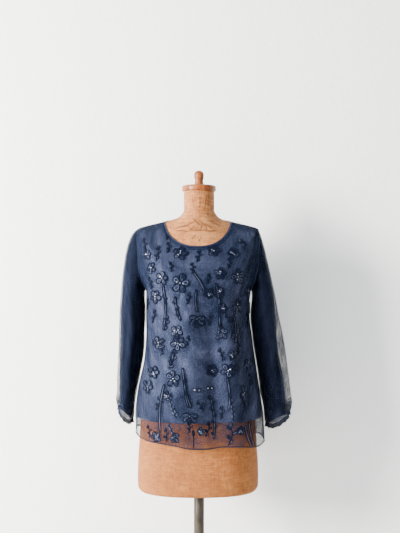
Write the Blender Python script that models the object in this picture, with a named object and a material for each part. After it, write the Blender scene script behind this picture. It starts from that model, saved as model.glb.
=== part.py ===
# Embroidered top on a limbless dress form: metres, +Z up, the front faces -Y.
# The origin is on the floor under the pole. Sizes below are in millimetres.
import math

import bpy
import numpy as np

MM = 0.001

# Cloth and seams
CLOTH = 1.0  # wall of each cloth layer
SKIN_GAP = 0.5  # form to lining where the shoulders carry the top
LAYER_GAP = 0.4  # lining to mesh overlay
SEAM_GAP = 0.4  # front to back panel
JOIN_GAP = 0.35  # sleeve or binding to panel
RUFFLE_GAP = 0.6  # sleeve end to ruffle
LINING_FOLD_SHARE = 0.6  # how much of each body fold the lining takes

# Rows and columns of the cloth
HALF_COLUMNS = 20  # across a front or a back
YOKE_STEPS = 4  # neckline to shoulder tip
ARMHOLE_STEPS = 8  # shoulder tip to underarm
ARMHOLE_ANGLE = math.radians(24)  # how far the armhole cuts into the ring
SLEEVE_AROUND = 4 * ARMHOLE_STEPS
CAP_STEPS = 5  # rows over the sleeve head

# Levels that the construction names, by their place in BODY_RINGS
NECK_EDGE, TIP, UNDERARM, LINING_HEM, OVERLAY_HEM, FORM_END = 5, 8, 12, 19, 20, 23

# Each row is one ring round the body. It passes over the shoulders at side_z and dips to front_z
# and back_z. The halves and depths are measured from the ring's centre. "square" under 1 fills the
# corners of the ring, "corner" moves the cloth there out or in, a small "ridge" bends the ring
# sharply over the shoulder, and "float" is how far the overlay hangs off the lining.
BODY_COLUMNS = (
    "side_z", "front_z", "back_z", "form_half", "form_front", "form_back",
    "cloth_half", "cloth_front", "cloth_back", "form_centre", "cloth_centre",
    "square", "ridge", "float", "corner",
)
BODY_RINGS = {
    "neck_top": (1491, 1491, 1491, 46, 47, 47, 46, 47, 47, 0, 0, 1.0, 0.6, 0, 0),
    "neck_low": (1437, 1421, 1440, 46, 48, 47, 46, 48, 47, 0, 0, 1.0, 0.6, 0, 0),
    "neck_flare": (1423, 1402, 1431, 52, 54, 49, 52, 54, 49, -0.5, -0.5, 1.0, 0.5, 0, 0),
    "neck_root": (1411, 1380, 1422, 65, 65, 53, 65, 65, 53, -1.5, -1.5, 0.95, 0.3, 0, 0),
    "collar_line": (1404, 1352, 1416, 83, 77, 57.5, 83, 77, 57.5, -3, -3, 0.9, 0.2, 0, 0),
    "neckline": (1398, 1321, 1409, 101, 88.5, 62, 101, 88.5, 62, -4, -4, 0.87, 0.15, 0, 0),
    "yoke_inner": (1391, 1300, 1385, 130, 98, 80, 130, 98, 80, -3.5, -3.5, 0.9, 0.3, 0, 0),
    "yoke_outer": (1384, 1280, 1340, 157, 105, 95, 157, 105, 95, -3, -3, 0.92, 0.5, 0, 0),
    "shoulder_tip": (1377, 1258, 1290, 176, 111, 104, 177, 111, 104, -3, -3, 0.94, 0.8, 0, 0),
    "upper_armhole": (1346, 1244, 1262, 174, 115, 107, 191, 117, 109, -3, -2, 0.95, 1, 0, -4),
    "mid_armhole": (1290, 1225, 1232, 168, 119, 109, 194, 121, 111, -3, -2, 0.95, 1, 0, -7),
    "low_armhole": (1238, 1208, 1210, 155, 121, 110, 177, 124, 113, -3, -1.5, 0.95, 1, 0, -1),
    "underarm": (1196, 1196, 1196, 146, 122, 110, 154.6, 125, 114, -3, -1.5, 0.94, 1, 0, 9),
    "bust": (1160, 1160, 1160, 142, 123, 108, 152, 127, 115, -3, -4, 0.92, 1, 0, 7),
    "underbust": (1110, 1110, 1110, 131, 112, 101, 152.5, 128, 117, -3, -3.5, 0.9, 1, 0, 3.5),
    "waist": (1061, 1061, 1061, 118, 92, 85, 155.5, 129, 119, -3, 0, 0.88, 1, 0, 1),
    "high_hip": (990, 990, 990, 139, 102, 100, 163, 130, 122, -3, 1.5, 0.87, 1, 0.2, 0),
    "hip": (923, 923, 923, 157, 111, 114, 173.5, 132, 126, -3, -0.5, 0.86, 1, 1.2, 0),
    "low_hip": (875, 875, 875, 165, 115, 119, 178.5, 133, 129, -3, -1, 0.85, 1, 3, 0),
    "lining_hem": (821, 821, 821, 171, 117, 121, 181, 134, 131, -3, 1, 0.85, 1, 5.5, 0),
    "overlay_hem": (752, 752, 752, 175.5, 118, 120, 180, 136, 133, -3, 3.5, 0.85, 1, 6, 0),
    "form_low": (640, 640, 640, 181, 117, 117, 181, 137, 134, -3, 3, 0.86, 1, 6, 0),
    "form_edge": (613, 613, 613, 180, 116, 116, 181, 137, 134, -3, 3, 0.86, 1, 6, 0),
    "form_under": (602, 602, 602, 173, 110, 110, 181, 137, 134, -3, 3, 0.86, 1, 6, 0),
}
COLUMN = {
    name: np.array([row[i] for row in BODY_RINGS.values()], float)
    for i, name in enumerate(BODY_COLUMNS)
}

# Soft folds that open downwards: place round the body, width, where each starts, ridge at the hem
FOLD_COLUMNS = ("angle", "width", "top_z", "ridge")
BODY_FOLDS = (
    (8, 10, 1040, 4.0),
    (33, 12, 1120, 4.5),
    (58, 13, 1130, 6.0),
    (84, 10, 960, 2.0),
    (112, 13, 1090, 4.0),
    (137, 11, 1140, 5.5),
    (164, 12, 1060, 5.0),
    (196, 12, 1080, 5.0),
    (222, 12, 1120, 5.5),
    (251, 14, 1140, 6.5),
    (281, 12, 1100, 5.0),
    (308, 13, 1130, 6.0),
    (337, 12, 1080, 5.0),
)
FOLD_FULL_Z = 780  # where the folds have their whole ridge
FOLD_GROWTH = 1.3  # over 1, a fold starts gently

# The overlay's hem, from the left side seam (-1) to the right one (1)
FRONT_HEM = ((-1, 785), (-0.93, 768), (-0.65, 763), (-0.35, 759), (-0.1, 749), (0.1, 749),
             (0.3, 755), (0.55, 753), (0.8, 745), (0.93, 745), (1, 752))
BACK_HEM = ((-1, 785), (-0.9, 770), (-0.5, 760), (0, 756), (0.5, 753), (1, 752))

# Sleeve sections from the underarm down: heights of the outer and inner side, how far each side
# stands from the form's axis, middle and half depth, the lining's outer side, gather depth
SECTION_COLUMNS = ("outer_z", "inner_z", "outer_x", "inner_x", "middle_y", "half_depth",
                   "lining_x", "gather")
SLEEVES = {
    "left": {
        "side": -1,
        "spread": 0.8,  # how far the sleeve head runs out before it falls
        "sections": (
            (1180, 1180, 235, 162.5, 4, 62, 231, 0),
            (1120, 1120, 239.5, 163, 6, 62, 235, 0),
            (1060, 1060, 240.5, 163, 8, 61, 236, 0),
            (1000, 1000, 243.5, 168, 10, 61, 238, 0.5),
            (940, 938, 246.5, 180, 12, 64, 239, 1.5),
            (898, 886, 248, 189, 14, 66, 239.5, 2.5),
            (868, 840, 250.5, 194, 15, 66, 240, 3),
            (849, 811, 247.5, 196, 16, 62, 239, 3.5),
        ),
    },
    "right": {
        "side": 1,
        "spread": 0.25,
        "sections": (
            (1180, 1180, 229, 159.5, 4, 60, 225, 0),
            (1120, 1120, 240, 157, 6, 60, 230, 0),
            (1060, 1060, 252.5, 163, 8, 60, 233, 0),
            (1000, 1000, 262.5, 171, 10, 61, 240, 0.5),
            (940, 938, 270, 180.5, 12, 63, 253, 1.5),
            (895, 886, 276.5, 187, 14, 66, 259, 2.5),
            (858, 838, 281, 194.5, 15, 67, 263, 3),
            (834, 799, 277.5, 198, 16, 64, 262, 3.5),
        ),
    },
}
END_SLANT = 1.5  # how the sleeve's end curves from its high outer side to its low inner side
HEAD_DROP = 0.06  # how soon the sleeve head turns down
HEAD_DEEPEN = 0.7  # how soon it takes the depth of the first section
GATHERS = 8
LINING_INSET = 3.0  # sleeve lining inside the sleeve, front, back and inner side
LINING_END_INSET = 5.0  # more of the same at the gathered end
LINING_START = 0.1  # share of the head's first row that the lining leaves free at the armhole
LINING_HEAD_EASE = 0.35  # more inset with each row of the head
LINING_SHORTER = 10  # the sleeve lining ends this far above the sleeve's end
LINING_PLACES = (0, 1, 2, 3.2, 4.4, 5.5, 7)  # its rows, by their place among the sections
RUFFLE = {"columns": 48, "waves": 12, "height": 15, "top_wave": 0.6, "hem_wave": 3.2, "inset": 2.5}
BINDING = {"height": 4.0, "proud": 0.3, "lift": 0.15, "round_out": 0.4, "round_in": 0.35}

# The form's own rows: levels above the neckline, armhole rows and levels below the underarm
FORM_NECK = (0, 1, 2, 3, 4, 4.8)
FORM_ARMHOLE = (1, 2, 4, 6, 8)
FORM_LOW = (13, 14, 15, 16, 17, 18.5, OVERLAY_HEM, 21, 22, FORM_END)

# Turned pieces: (radius, height) from the bottom up
CAP_PROFILE = ((0, 1491.2), (48.5, 1491.2), (50.8, 1494), (50.8, 1505), (47, 1508.5), (30, 1511),
               (0, 1511))
FINIAL_PROFILE = ((0, 1511.3), (14, 1511.3), (13, 1517), (12.5, 1524), (14.5, 1533), (14.8, 1541),
                  (12.5, 1549), (6.5, 1553), (0, 1553.6))
POLE_RADIUS, POLE_TOP = 15.5, 601.6
METAL_GAP = 0.3  # between the base, the pole and its collar
BASE_PROFILE = ((0, 0), (166, 0), (170, 4), (170, 10), (150, 17), (90, 23), (36, 26), (0, 26))
COLLAR_HEIGHT, COLLAR_WALL = 42, 11
TURNED_SEGMENTS = 32
POLE_SEGMENTS = 20
BASE_SEGMENTS = 44


def clear_scene():
    for item in list(bpy.data.objects):
        bpy.data.objects.remove(item, do_unlink=True)


def material(name, colour, roughness, metallic=0.0):
    made = bpy.data.materials.new(name)
    made.use_nodes = True
    shader = made.node_tree.nodes["Principled BSDF"]
    shader.inputs["Base Color"].default_value = (*colour, 1)
    shader.inputs["Roughness"].default_value = roughness
    shader.inputs["Metallic"].default_value = metallic
    return made


def through(values, at):
    """A cubic through values at 0, 1, 2 ... that never overshoots them."""
    at = np.asarray(at, float)
    step = np.diff(values)
    product = step[:-1] * step[1:]
    total = np.where(product > 0, step[:-1] + step[1:], 1)
    slope = np.concatenate(
        ([step[0]], np.where(product > 0, 2 * product / total, 0), [step[-1]])
    )
    low = np.clip(np.floor(at).astype(int), 0, len(values) - 2)
    t = at - low
    return (
        values[low] * (1 + 2 * t) * (1 - t) ** 2
        + values[low + 1] * t * t * (3 - 2 * t)
        + slope[low] * t * (1 - t) ** 2
        + slope[low + 1] * t * t * (t - 1)
    )


def body_surface(level, angle, skin):
    """Points of the rings: angle 0 is the right side, a quarter turn on is the front."""
    across, along = np.cos(angle), np.sin(angle)
    front = along >= 0
    value = {name: through(COLUMN[name], level) for name in BODY_COLUMNS}
    depth = np.where(front, value[skin + "_front"], value[skin + "_back"])
    dip = np.where(front, value["front_z"], value["back_z"]) - value["side_z"]
    ridge = value["ridge"]
    reach = (np.sqrt(along**2 + ridge**2) - ridge) / (np.sqrt(1 + ridge**2) - ridge)
    full = value["square"]
    half = value[skin + "_half"]
    if skin == "cloth":
        half = half + value["corner"] * np.sin(2 * angle) ** 2
    x = value[skin + "_centre"] + half * np.sign(across) * np.abs(across) ** full
    y = -depth * np.sign(along) * np.abs(along) ** full
    z = value["side_z"] + dip * reach
    return np.stack(np.broadcast_arrays(x, y, z), -1)


def body_normal(level, angle, skin, step=0.01):
    turn = body_surface(level, angle + step, skin) - body_surface(level, angle - step, skin)
    fall = body_surface(level + step, angle, skin) - body_surface(level - step, angle, skin)
    normal = np.cross(turn, fall)
    return normal / np.linalg.norm(normal, axis=-1, keepdims=True)


def body_layer(level, angle, skin, lift):
    lift = np.broadcast_to(lift, np.broadcast(level, angle).shape)
    return body_surface(level, angle, skin) + body_normal(level, angle, skin) * lift[..., None]


def body_fold(level, angle):
    """How far the soft folds stand out."""
    height = through(COLUMN["side_z"], level)
    total = np.zeros(np.broadcast(level, angle).shape)
    for row in BODY_FOLDS:
        fold = dict(zip(FOLD_COLUMNS, row))
        away = np.degrees(angle) - fold["angle"]
        away = (away + 180) % 360 - 180
        grown = np.clip((fold["top_z"] - height) / (fold["top_z"] - FOLD_FULL_Z), 0, 1)
        bump = np.exp(-((away / fold["width"]) ** 2))
        total = total + fold["ridge"] * grown**FOLD_GROWTH * bump
    return total


def closed_mesh(name, vertices, faces, look):
    """An object whose triangles face outwards, with smooth shading between them."""
    vertices = np.asarray(vertices, float).reshape(-1, 3) * MM
    faces = np.asarray(faces, int)
    a, b, c = (vertices[faces[:, i]] for i in range(3))
    if np.einsum("ij,ij->", a, np.cross(b, c)) < 0:
        faces = faces[:, ::-1]
    mesh = bpy.data.meshes.new(name)
    mesh.from_pydata(vertices.tolist(), [], faces.tolist())
    mesh.shade_smooth()
    mesh.set_sharp_from_angle(angle=math.radians(40))
    made = bpy.data.objects.new(name, mesh)
    made.data.materials.append(look)
    bpy.context.scene.collection.objects.link(made)
    return made


def grid_faces(rows, columns, around, start=0):
    """Triangles of a grid of points, closed round its columns where around is true."""
    last = columns if around else columns - 1
    i, j = np.meshgrid(np.arange(rows - 1), np.arange(last), indexing="ij")
    right = (j + 1) % columns
    corner = start + i * columns + j
    beside = start + i * columns + right
    below, across = corner + columns, beside + columns
    first = np.stack((corner, beside, across), -1).reshape(-1, 3)
    second = np.stack((corner, across, below), -1).reshape(-1, 3)
    return np.concatenate((first, second))


def equal_turns(columns):
    return np.arange(columns) * 2 * math.pi / columns


def strip(one, other):
    """Triangles between two runs of points of the same length."""
    first = np.stack((one[:-1], one[1:], other[1:]), -1)
    second = np.stack((one[:-1], other[1:], other[:-1]), -1)
    return np.concatenate((first, second))


def wall(name, outer, inner, look, around=False):
    """A closed cloth wall between two grids of points."""
    rows, columns = outer.shape[:2]
    size = rows * columns
    index = np.arange(size).reshape(rows, columns)
    faces = [grid_faces(rows, columns, around), grid_faces(rows, columns, around, size)[:, ::-1]]
    top, bottom = index[0], index[-1]
    if around:
        top, bottom = np.append(top, top[0]), np.append(bottom, bottom[0])
        faces += [strip(top, top + size)[:, ::-1], strip(bottom, bottom + size)]
    else:
        rim = np.concatenate((top, index[1:, -1], bottom[-2::-1], index[-2::-1, 0]))
        faces.append(strip(rim, rim + size)[:, ::-1])
    vertices = np.concatenate((outer.reshape(-1, 3), inner.reshape(-1, 3)))
    return closed_mesh(name, vertices, np.concatenate(faces), look)


def stacked(name, rings, look):
    """A solid through rings of points, closed by a fan at each end."""
    rows, columns = rings.shape[:2]
    vertices = rings.reshape(-1, 3)
    ends = np.stack((rings[0].mean(0), rings[-1].mean(0)))
    loop = np.append(np.arange(columns), 0)
    last = (rows - 1) * columns
    top = np.stack((loop[1:], loop[:-1], np.full(columns, len(vertices))), -1)
    low = np.stack((loop[:-1] + last, loop[1:] + last, np.full(columns, len(vertices) + 1)), -1)
    faces = np.concatenate((grid_faces(rows, columns, True), top, low))
    return closed_mesh(name, np.concatenate((vertices, ends)), faces, look)


def turned(name, profile, segments, look):
    """A solid of revolution: the profile's ends lie on the axis."""
    turn = equal_turns(segments)
    rings = [
        np.stack((r * np.cos(turn), r * np.sin(turn), np.full(segments, z)), -1)
        for r, z in profile[1:-1]
    ]
    made = np.array(rings, float)
    vertices = made.reshape(-1, 3)
    tips = np.array([(0, 0, profile[0][1]), (0, 0, profile[-1][1])], float)
    loop = np.append(np.arange(segments), 0)
    last = (len(rings) - 1) * segments
    low = np.stack((loop[1:], loop[:-1], np.full(segments, len(vertices))), -1)
    top = np.stack((loop[:-1] + last, loop[1:] + last, np.full(segments, len(vertices) + 1)), -1)
    faces = np.concatenate((grid_faces(len(rings), segments, True), low, top))
    return closed_mesh(name, np.concatenate((vertices, tips)), faces, look)


def armhole_turns():
    """Equal turns round half the armhole, from the shoulder tip to the underarm."""
    return np.linspace(0, math.pi, ARMHOLE_STEPS + 1)


def armhole_levels():
    return TIP + (UNDERARM - TIP) * (1 - np.cos(armhole_turns())) / 2


def panel_rows(hem):
    """(levels, edge angles) of a panel's rows: the edge leaves the side only in the armhole."""
    yoke = np.linspace(NECK_EDGE, TIP, YOKE_STEPS + 1)[:-1]
    below = np.arange(UNDERARM + 1, hem + 1)
    levels = np.concatenate((yoke, armhole_levels(), below))
    cut = ARMHOLE_ANGLE * np.sin(armhole_turns())
    edges = np.concatenate((np.zeros(len(yoke)), cut, np.zeros(len(below))))
    return levels, edges


def panel_grid(hem, back):
    """(level, angle) of every point of a front or a back."""
    levels, edges = panel_rows(hem)
    across = np.linspace(1, -1, HALF_COLUMNS + 1)
    middle = 1.5 * math.pi if back else 0.5 * math.pi
    angle = middle - across[None, :] * (0.5 * math.pi - edges[:, None])
    level = np.broadcast_to(levels[:, None], angle.shape)
    return level, angle


def lining_lifts(level, angle):
    low = LINING_FOLD_SHARE * body_fold(level, angle)
    return low, low + CLOTH


def overlay_lifts(level, angle):
    off = through(COLUMN["float"], level)
    low = CLOTH + LAYER_GAP + off + body_fold(level, angle)
    return low, low + CLOTH


def panel(name, hem, back, lifts, look):
    level, angle = panel_grid(hem, back)
    low, high = lifts(level, angle)
    outer = body_layer(level, angle, "cloth", high)
    inner = body_layer(level, angle, "cloth", low)
    if hem == OVERLAY_HEM:
        places, heights = zip(*(BACK_HEM if back else FRONT_HEM))
        where = np.cos(angle[-1])
        for grid in (outer, inner):
            grid[-1, :, 2] = np.interp(where, places, heights)
    for grid in (outer, inner):
        grid[..., 1] += SEAM_GAP / 2 * (1 if back else -1)
    return wall(name, outer, inner, look)


def armhole_ring(side, lifts):
    """(middle points, normals) round one armhole, from the shoulder tip over the front."""
    turns = armhole_turns()
    levels = armhole_levels()
    edge = ARMHOLE_ANGLE * np.sin(turns)
    level = np.concatenate((levels, levels[-2:0:-1]))
    angle = np.concatenate((edge, -edge[-2:0:-1]))
    if side < 0:
        angle = math.pi - angle
    angle = angle % (2 * math.pi)
    low, high = lifts(level, angle)
    points = body_layer(level, angle, "cloth", (low + high) / 2)
    return points, body_normal(level, angle, "cloth")


def split_edges(points):
    """The same closed run of points with the middle of each edge added."""
    halves = (points + np.roll(points, -1, axis=0)) / 2
    return np.stack((points, halves), 1).reshape(-1, points.shape[-1])


def ring_normals(grid):
    """Normals of a tube's grid of points, out of the tube."""
    turn = np.roll(grid, -1, axis=1) - np.roll(grid, 1, axis=1)
    fall = np.gradient(grid, axis=0)
    normal = np.cross(turn, fall)
    normal /= np.linalg.norm(normal, axis=-1, keepdims=True)
    away = grid - grid.mean(axis=1, keepdims=True)
    return normal * np.sign((normal * away).sum())


def sleeve_section(sleeve, row, turns, layer):
    """One section of a sleeve or its lining at a place in the section table."""
    table = np.array(sleeve["sections"], float)
    value = {name: through(table[:, i], row) for i, name in enumerate(SECTION_COLUMNS)}
    out, back_in, depth = value["outer_x"], value["inner_x"], value["half_depth"]
    gather = value["gather"] * (1 - np.cos(GATHERS * turns)) / 2
    if layer == "lining":
        inset = LINING_INSET + LINING_END_INSET * (row / (len(table) - 1)) ** 2
        narrower = (value["lining_x"] - back_in - inset) / (out - back_in)
        out, back_in, depth = value["lining_x"], back_in + inset, depth * narrower**0.5 - inset
        gather = 0
    across = (out - back_in - CLOTH) / 2 - gather
    deep = depth - CLOTH / 2 - gather
    c, s = np.cos(turns), np.sin(turns)
    slant = ((1 + c) / 2) ** END_SLANT
    x = sleeve["side"] * ((out + back_in) / 2 + across * c)
    y = value["middle_y"] - deep * s
    z = value["inner_z"] + (value["outer_z"] - value["inner_z"]) * slant
    return np.stack((x, y, z), -1)


def sleeve_head(start, end, spread, steps):
    """Rows that leave the armhole sideways and turn down into the first section."""
    bend = start.copy()
    bend[:, 0] += spread * (end[:, 0] - start[:, 0])
    bend[:, 1] += HEAD_DEEPEN * (end[:, 1] - start[:, 1])
    bend[:, 2] += HEAD_DROP * (end[:, 2] - start[:, 2])
    t = np.linspace(0, 1, steps + 1)[:-1, None, None]
    return (1 - t) ** 2 * start + 2 * t * (1 - t) * bend + t * t * end


def sleeve_start(sleeve):
    """The sleeve's first ring, beside the armhole's edge and outside the panel's face."""
    points, normals = armhole_ring(sleeve["side"], overlay_lifts)
    turns = equal_turns(2 * ARMHOLE_STEPS)
    under = (1 - np.cos(turns)) / 2
    out = JOIN_GAP + CLOTH / 2 * (np.abs(normals[:, 0]) + under)
    points[:, 0] += sleeve["side"] * out
    return split_edges(points)


def sleeve_grid(sleeve):
    turns = equal_turns(SLEEVE_AROUND)
    rows = range(len(sleeve["sections"]))
    sections = np.array([sleeve_section(sleeve, row, turns, "sleeve") for row in rows])
    head = sleeve_head(sleeve_start(sleeve), sections[0], sleeve["spread"], CAP_STEPS)
    return np.concatenate((head, sections))


def tube(name, grid, look):
    normals = ring_normals(grid)
    outer = grid + normals * CLOTH / 2
    inner = grid - normals * CLOTH / 2
    return wall(name, outer, inner, look, around=True)


def sleeve_lining_grid(sleeve, full):
    """The lining's head is made from the sleeve's own points, moved in, every second one."""
    normals = ring_normals(full)
    head = full[:CAP_STEPS].copy()
    head[0] += (full[1] - full[0]) * LINING_START
    inset = CLOTH + LAYER_GAP + LINING_HEAD_EASE * np.arange(CAP_STEPS)
    head -= normals[:CAP_STEPS] * inset[:, None, None]
    turns = equal_turns(SLEEVE_AROUND // 2)
    sections = np.array([sleeve_section(sleeve, row, turns, "lining") for row in LINING_PLACES])
    sections[-1, :, 2] += LINING_SHORTER
    return np.concatenate((head[:, ::2], sections))


def ruffle_grid(sleeve):
    turns = equal_turns(RUFFLE["columns"])
    end = sleeve_section(sleeve, len(sleeve["sections"]) - 1, turns, "sleeve")
    middle = end.mean(axis=0)
    out = end - middle
    out[:, 2] = 0
    out /= np.linalg.norm(out, axis=1, keepdims=True)
    rows = []
    for share in (0, 0.5, 1):
        wave = RUFFLE["top_wave"] + (RUFFLE["hem_wave"] - RUFFLE["top_wave"]) * share
        ring = end + out * (wave * np.cos(RUFFLE["waves"] * turns) - RUFFLE["inset"])[:, None]
        ring[:, 2] = end[:, 2] - RUFFLE_GAP - share * RUFFLE["height"]
        rows.append(ring)
    return np.array(rows)


def neck_binding(look):
    """A folded strip that stands on the neck edge of both layers."""
    angle = equal_turns(2 * HALF_COLUMNS)
    edge = body_surface(NECK_EDGE, angle, "cloth")
    above = body_surface(NECK_EDGE - 0.05, angle, "cloth")
    climb = (above - edge) / np.linalg.norm(above - edge, axis=1, keepdims=True)
    normal = body_normal(NECK_EDGE, angle, "cloth")
    low = edge + climb * JOIN_GAP
    high = edge + climb * (JOIN_GAP + BINDING["height"])
    inner_lift = BINDING["lift"]
    outer_lift = 2 * CLOTH + LAYER_GAP + BINDING["proud"]
    outer = np.array((low + normal * outer_lift, high + normal * (outer_lift - BINDING["round_out"])))
    inner = np.array((low + normal * inner_lift, high + normal * (inner_lift + BINDING["round_in"])))
    return wall("neck_binding", outer, inner, look, around=True)


def dress_form(look):
    turns = equal_turns(2 * HALF_COLUMNS)
    yoke = np.linspace(NECK_EDGE, TIP, YOKE_STEPS + 1)
    armhole = armhole_levels()[list(FORM_ARMHOLE)]
    levels = np.concatenate((FORM_NECK, yoke, armhole, FORM_LOW))
    rings = body_layer(levels[:, None], turns[None, :], "form", -SKIN_GAP)
    for end in (0, -1):
        rings[end, :, 2] = rings[end, :, 2].mean()
    return stacked("dress_form", rings, look)


def collar(look):
    low = BASE_PROFILE[-1][1] + METAL_GAP
    turn = equal_turns(BASE_SEGMENTS // 2)
    bore, out = POLE_RADIUS + METAL_GAP, POLE_RADIUS + COLLAR_WALL
    heights = (low, low + COLLAR_HEIGHT)

    def rings(radius):
        return np.array(
            [np.stack((radius * np.cos(turn), radius * np.sin(turn), np.full(len(turn), z)), -1)
             for z in heights]
        )

    return wall("pole_collar", rings(out), rings(bore), look, around=True)


def main():
    clear_scene()
    mesh_cloth = material("navy_mesh", (0.035, 0.055, 0.115), 0.6)
    lining_cloth = material("blue_lining", (0.075, 0.105, 0.19), 0.5)
    trim = material("dark_trim", (0.008, 0.012, 0.03), 0.6)
    linen = material("tan_linen", (0.54, 0.3, 0.16), 0.75)
    wood = material("orange_wood", (0.46, 0.17, 0.06), 0.4)
    steel = material("dull_steel", (0.22, 0.18, 0.14), 0.45, 0.9)
    iron = material("dark_iron", (0.05, 0.045, 0.04), 0.55, 0.8)

    panel("lining_front", LINING_HEM, False, lining_lifts, lining_cloth)
    panel("lining_back", LINING_HEM, True, lining_lifts, lining_cloth)
    panel("overlay_front", OVERLAY_HEM, False, overlay_lifts, mesh_cloth)
    panel("overlay_back", OVERLAY_HEM, True, overlay_lifts, mesh_cloth)
    neck_binding(trim)
    for name, sleeve in SLEEVES.items():
        grid = sleeve_grid(sleeve)
        tube("sleeve_" + name, grid, mesh_cloth)
        tube("sleeve_lining_" + name, sleeve_lining_grid(sleeve, grid), lining_cloth)
        tube("cuff_ruffle_" + name, ruffle_grid(sleeve), trim)

    dress_form(linen)
    turned("neck_cap", CAP_PROFILE, TURNED_SEGMENTS, wood)
    turned("finial", FINIAL_PROFILE, TURNED_SEGMENTS - 8, wood)
    foot = BASE_PROFILE[-1][1] + METAL_GAP
    pole = ((0, foot), (POLE_RADIUS, foot), (POLE_RADIUS, POLE_TOP), (0, POLE_TOP))
    turned("pole", pole, POLE_SEGMENTS, steel)
    collar(iron)
    turned("base", BASE_PROFILE, BASE_SEGMENTS, iron)


main()
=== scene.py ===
# Looks of an embroidered top on a limbless dress form.
# Lengths are millimetres until a mesh is made. Angles run round the body: 0 is the viewer's
# right side, a quarter turn is the front, a half turn the left side, then comes the back.
import math

import bpy
import numpy as np
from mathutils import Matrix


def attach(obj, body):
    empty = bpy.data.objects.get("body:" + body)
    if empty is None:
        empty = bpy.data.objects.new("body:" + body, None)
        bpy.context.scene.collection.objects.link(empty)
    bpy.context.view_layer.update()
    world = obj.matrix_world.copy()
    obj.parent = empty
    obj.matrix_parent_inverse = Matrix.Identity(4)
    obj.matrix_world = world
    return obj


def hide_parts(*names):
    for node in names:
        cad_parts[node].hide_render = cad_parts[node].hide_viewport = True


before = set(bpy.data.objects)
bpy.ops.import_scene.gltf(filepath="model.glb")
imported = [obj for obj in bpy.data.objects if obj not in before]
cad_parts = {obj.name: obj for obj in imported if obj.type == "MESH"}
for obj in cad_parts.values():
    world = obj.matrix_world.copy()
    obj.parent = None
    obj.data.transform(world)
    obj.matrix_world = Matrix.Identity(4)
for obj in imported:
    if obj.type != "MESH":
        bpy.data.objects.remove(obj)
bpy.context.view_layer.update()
print("frame loaded:", len(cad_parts), "solids")

mm = 0.001


# Camera, stage and light

room = {
    "camera": (0.003, -2.44, 1.266),
    "lens": 54.93,
    "wallY": 0.27,
    "halfWidth": 5.0,
    "wallTop": 5.0,
    "floorFront": -6.0,
    "floorBack": 6.0,
    "wallColour": (0.93, 0.93, 0.915),
    "floorColour": (0.80, 0.79, 0.77),
    "skyColour": (0.86, 0.93, 1.0),
    "skyStrength": 1.16,
    "keyPlace": (-3.1, -2.0, 1.85),
    "keyAim": (0.0, 0.0, 1.15),
    "keySize": 1.3,
    "keyPower": 812,
    "keyColour": (1.0, 0.975, 0.94),
}


def addCamera():
    data = bpy.data.cameras.new("photoCamera")
    data.lens = room["lens"]
    data.sensor_width = 36
    camera = bpy.data.objects.new("photoCamera", data)
    camera.location = room["camera"]
    camera.rotation_euler = (math.pi / 2, 0, 0)
    bpy.context.scene.collection.objects.link(camera)
    bpy.context.scene.camera = camera


def addKeyLight():
    data = bpy.data.lights.new("windowLight", "AREA")
    data.size = room["keySize"]
    data.energy = room["keyPower"]
    data.color = room["keyColour"]
    light = bpy.data.objects.new("windowLight", data)
    place = np.array(room["keyPlace"])
    back = place - np.array(room["keyAim"])
    light.location = place
    turn = math.atan2(back[0], -back[1])
    light.rotation_euler = (math.acos(back[2] / np.linalg.norm(back)), 0, turn)
    bpy.context.scene.collection.objects.link(light)


def addSky():
    world = bpy.data.worlds.new("paleRoom")
    world.use_nodes = True
    sky = world.node_tree.nodes["Background"]
    sky.inputs["Color"].default_value = (*room["skyColour"], 1)
    sky.inputs["Strength"].default_value = room["skyStrength"]
    bpy.context.scene.world = world


addCamera()
addKeyLight()
addSky()
print("camera and light set")


# Shader tools

def addNode(tree, kind, inputs=None, **settings):
    node = tree.nodes.new(kind)
    for name, value in settings.items():
        setattr(node, name, value)
    for name, value in (inputs or {}).items():
        if isinstance(value, bpy.types.NodeSocket):
            tree.links.new(value, node.inputs[name])
        else:
            node.inputs[name].default_value = value
    return node


def compute(tree, operation, first, second=0.0, third=0.0):
    return addNode(tree, "ShaderNodeMath", {0: first, 1: second, 2: third},
                   operation=operation).outputs[0]


def blend(tree, amount, first, second):
    first, second = (value if isinstance(value, bpy.types.NodeSocket) else (*value, 1)
                     for value in (first, second))
    return addNode(tree, "ShaderNodeMix", {"Factor": amount, 6: first, 7: second},
                   data_type="RGBA").outputs[2]


def newLook(name, **values):
    look = bpy.data.materials.new(name)
    look.use_nodes = True
    shader = look.node_tree.nodes["Principled BSDF"]
    for key, value in values.items():
        shader.inputs[key.replace("_", " ")].default_value = value
    return look, look.node_tree, shader


# A group with a Vector and named numbers in, and one number out
def newGroup(name, result, **numbers):
    tree = bpy.data.node_groups.new(name, "ShaderNodeTree")
    tree.interface.new_socket("Vector", in_out="INPUT", socket_type="NodeSocketVector")
    for label, value in numbers.items():
        tree.interface.new_socket(label, in_out="INPUT",
                                  socket_type="NodeSocketFloat").default_value = value
    tree.interface.new_socket(result, in_out="OUTPUT", socket_type="NodeSocketFloat")
    return tree, tree.nodes.new("NodeGroupInput").outputs, tree.nodes.new("NodeGroupOutput").inputs


def placeGroup(tree, group, **inputs):
    return addNode(tree, "ShaderNodeGroup", inputs, node_tree=group).outputs[0]


def feed(shader, name, value):
    shader.id_data.links.new(value, shader.inputs[name])


def objectPoint(tree):
    return addNode(tree, "ShaderNodeTexCoord").outputs["Object"]


def clothPoint(tree):
    return addNode(tree, "ShaderNodeUVMap", uv_map="cloth").outputs["UV"]


def densityAndShadeMask(tree):
    return addNode(tree, "ShaderNodeAttribute", attribute_name="densityAndShade").outputs["Fac"]


def axes(tree, point):
    return addNode(tree, "ShaderNodeSeparateXYZ", {"Vector": point}).outputs


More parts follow.
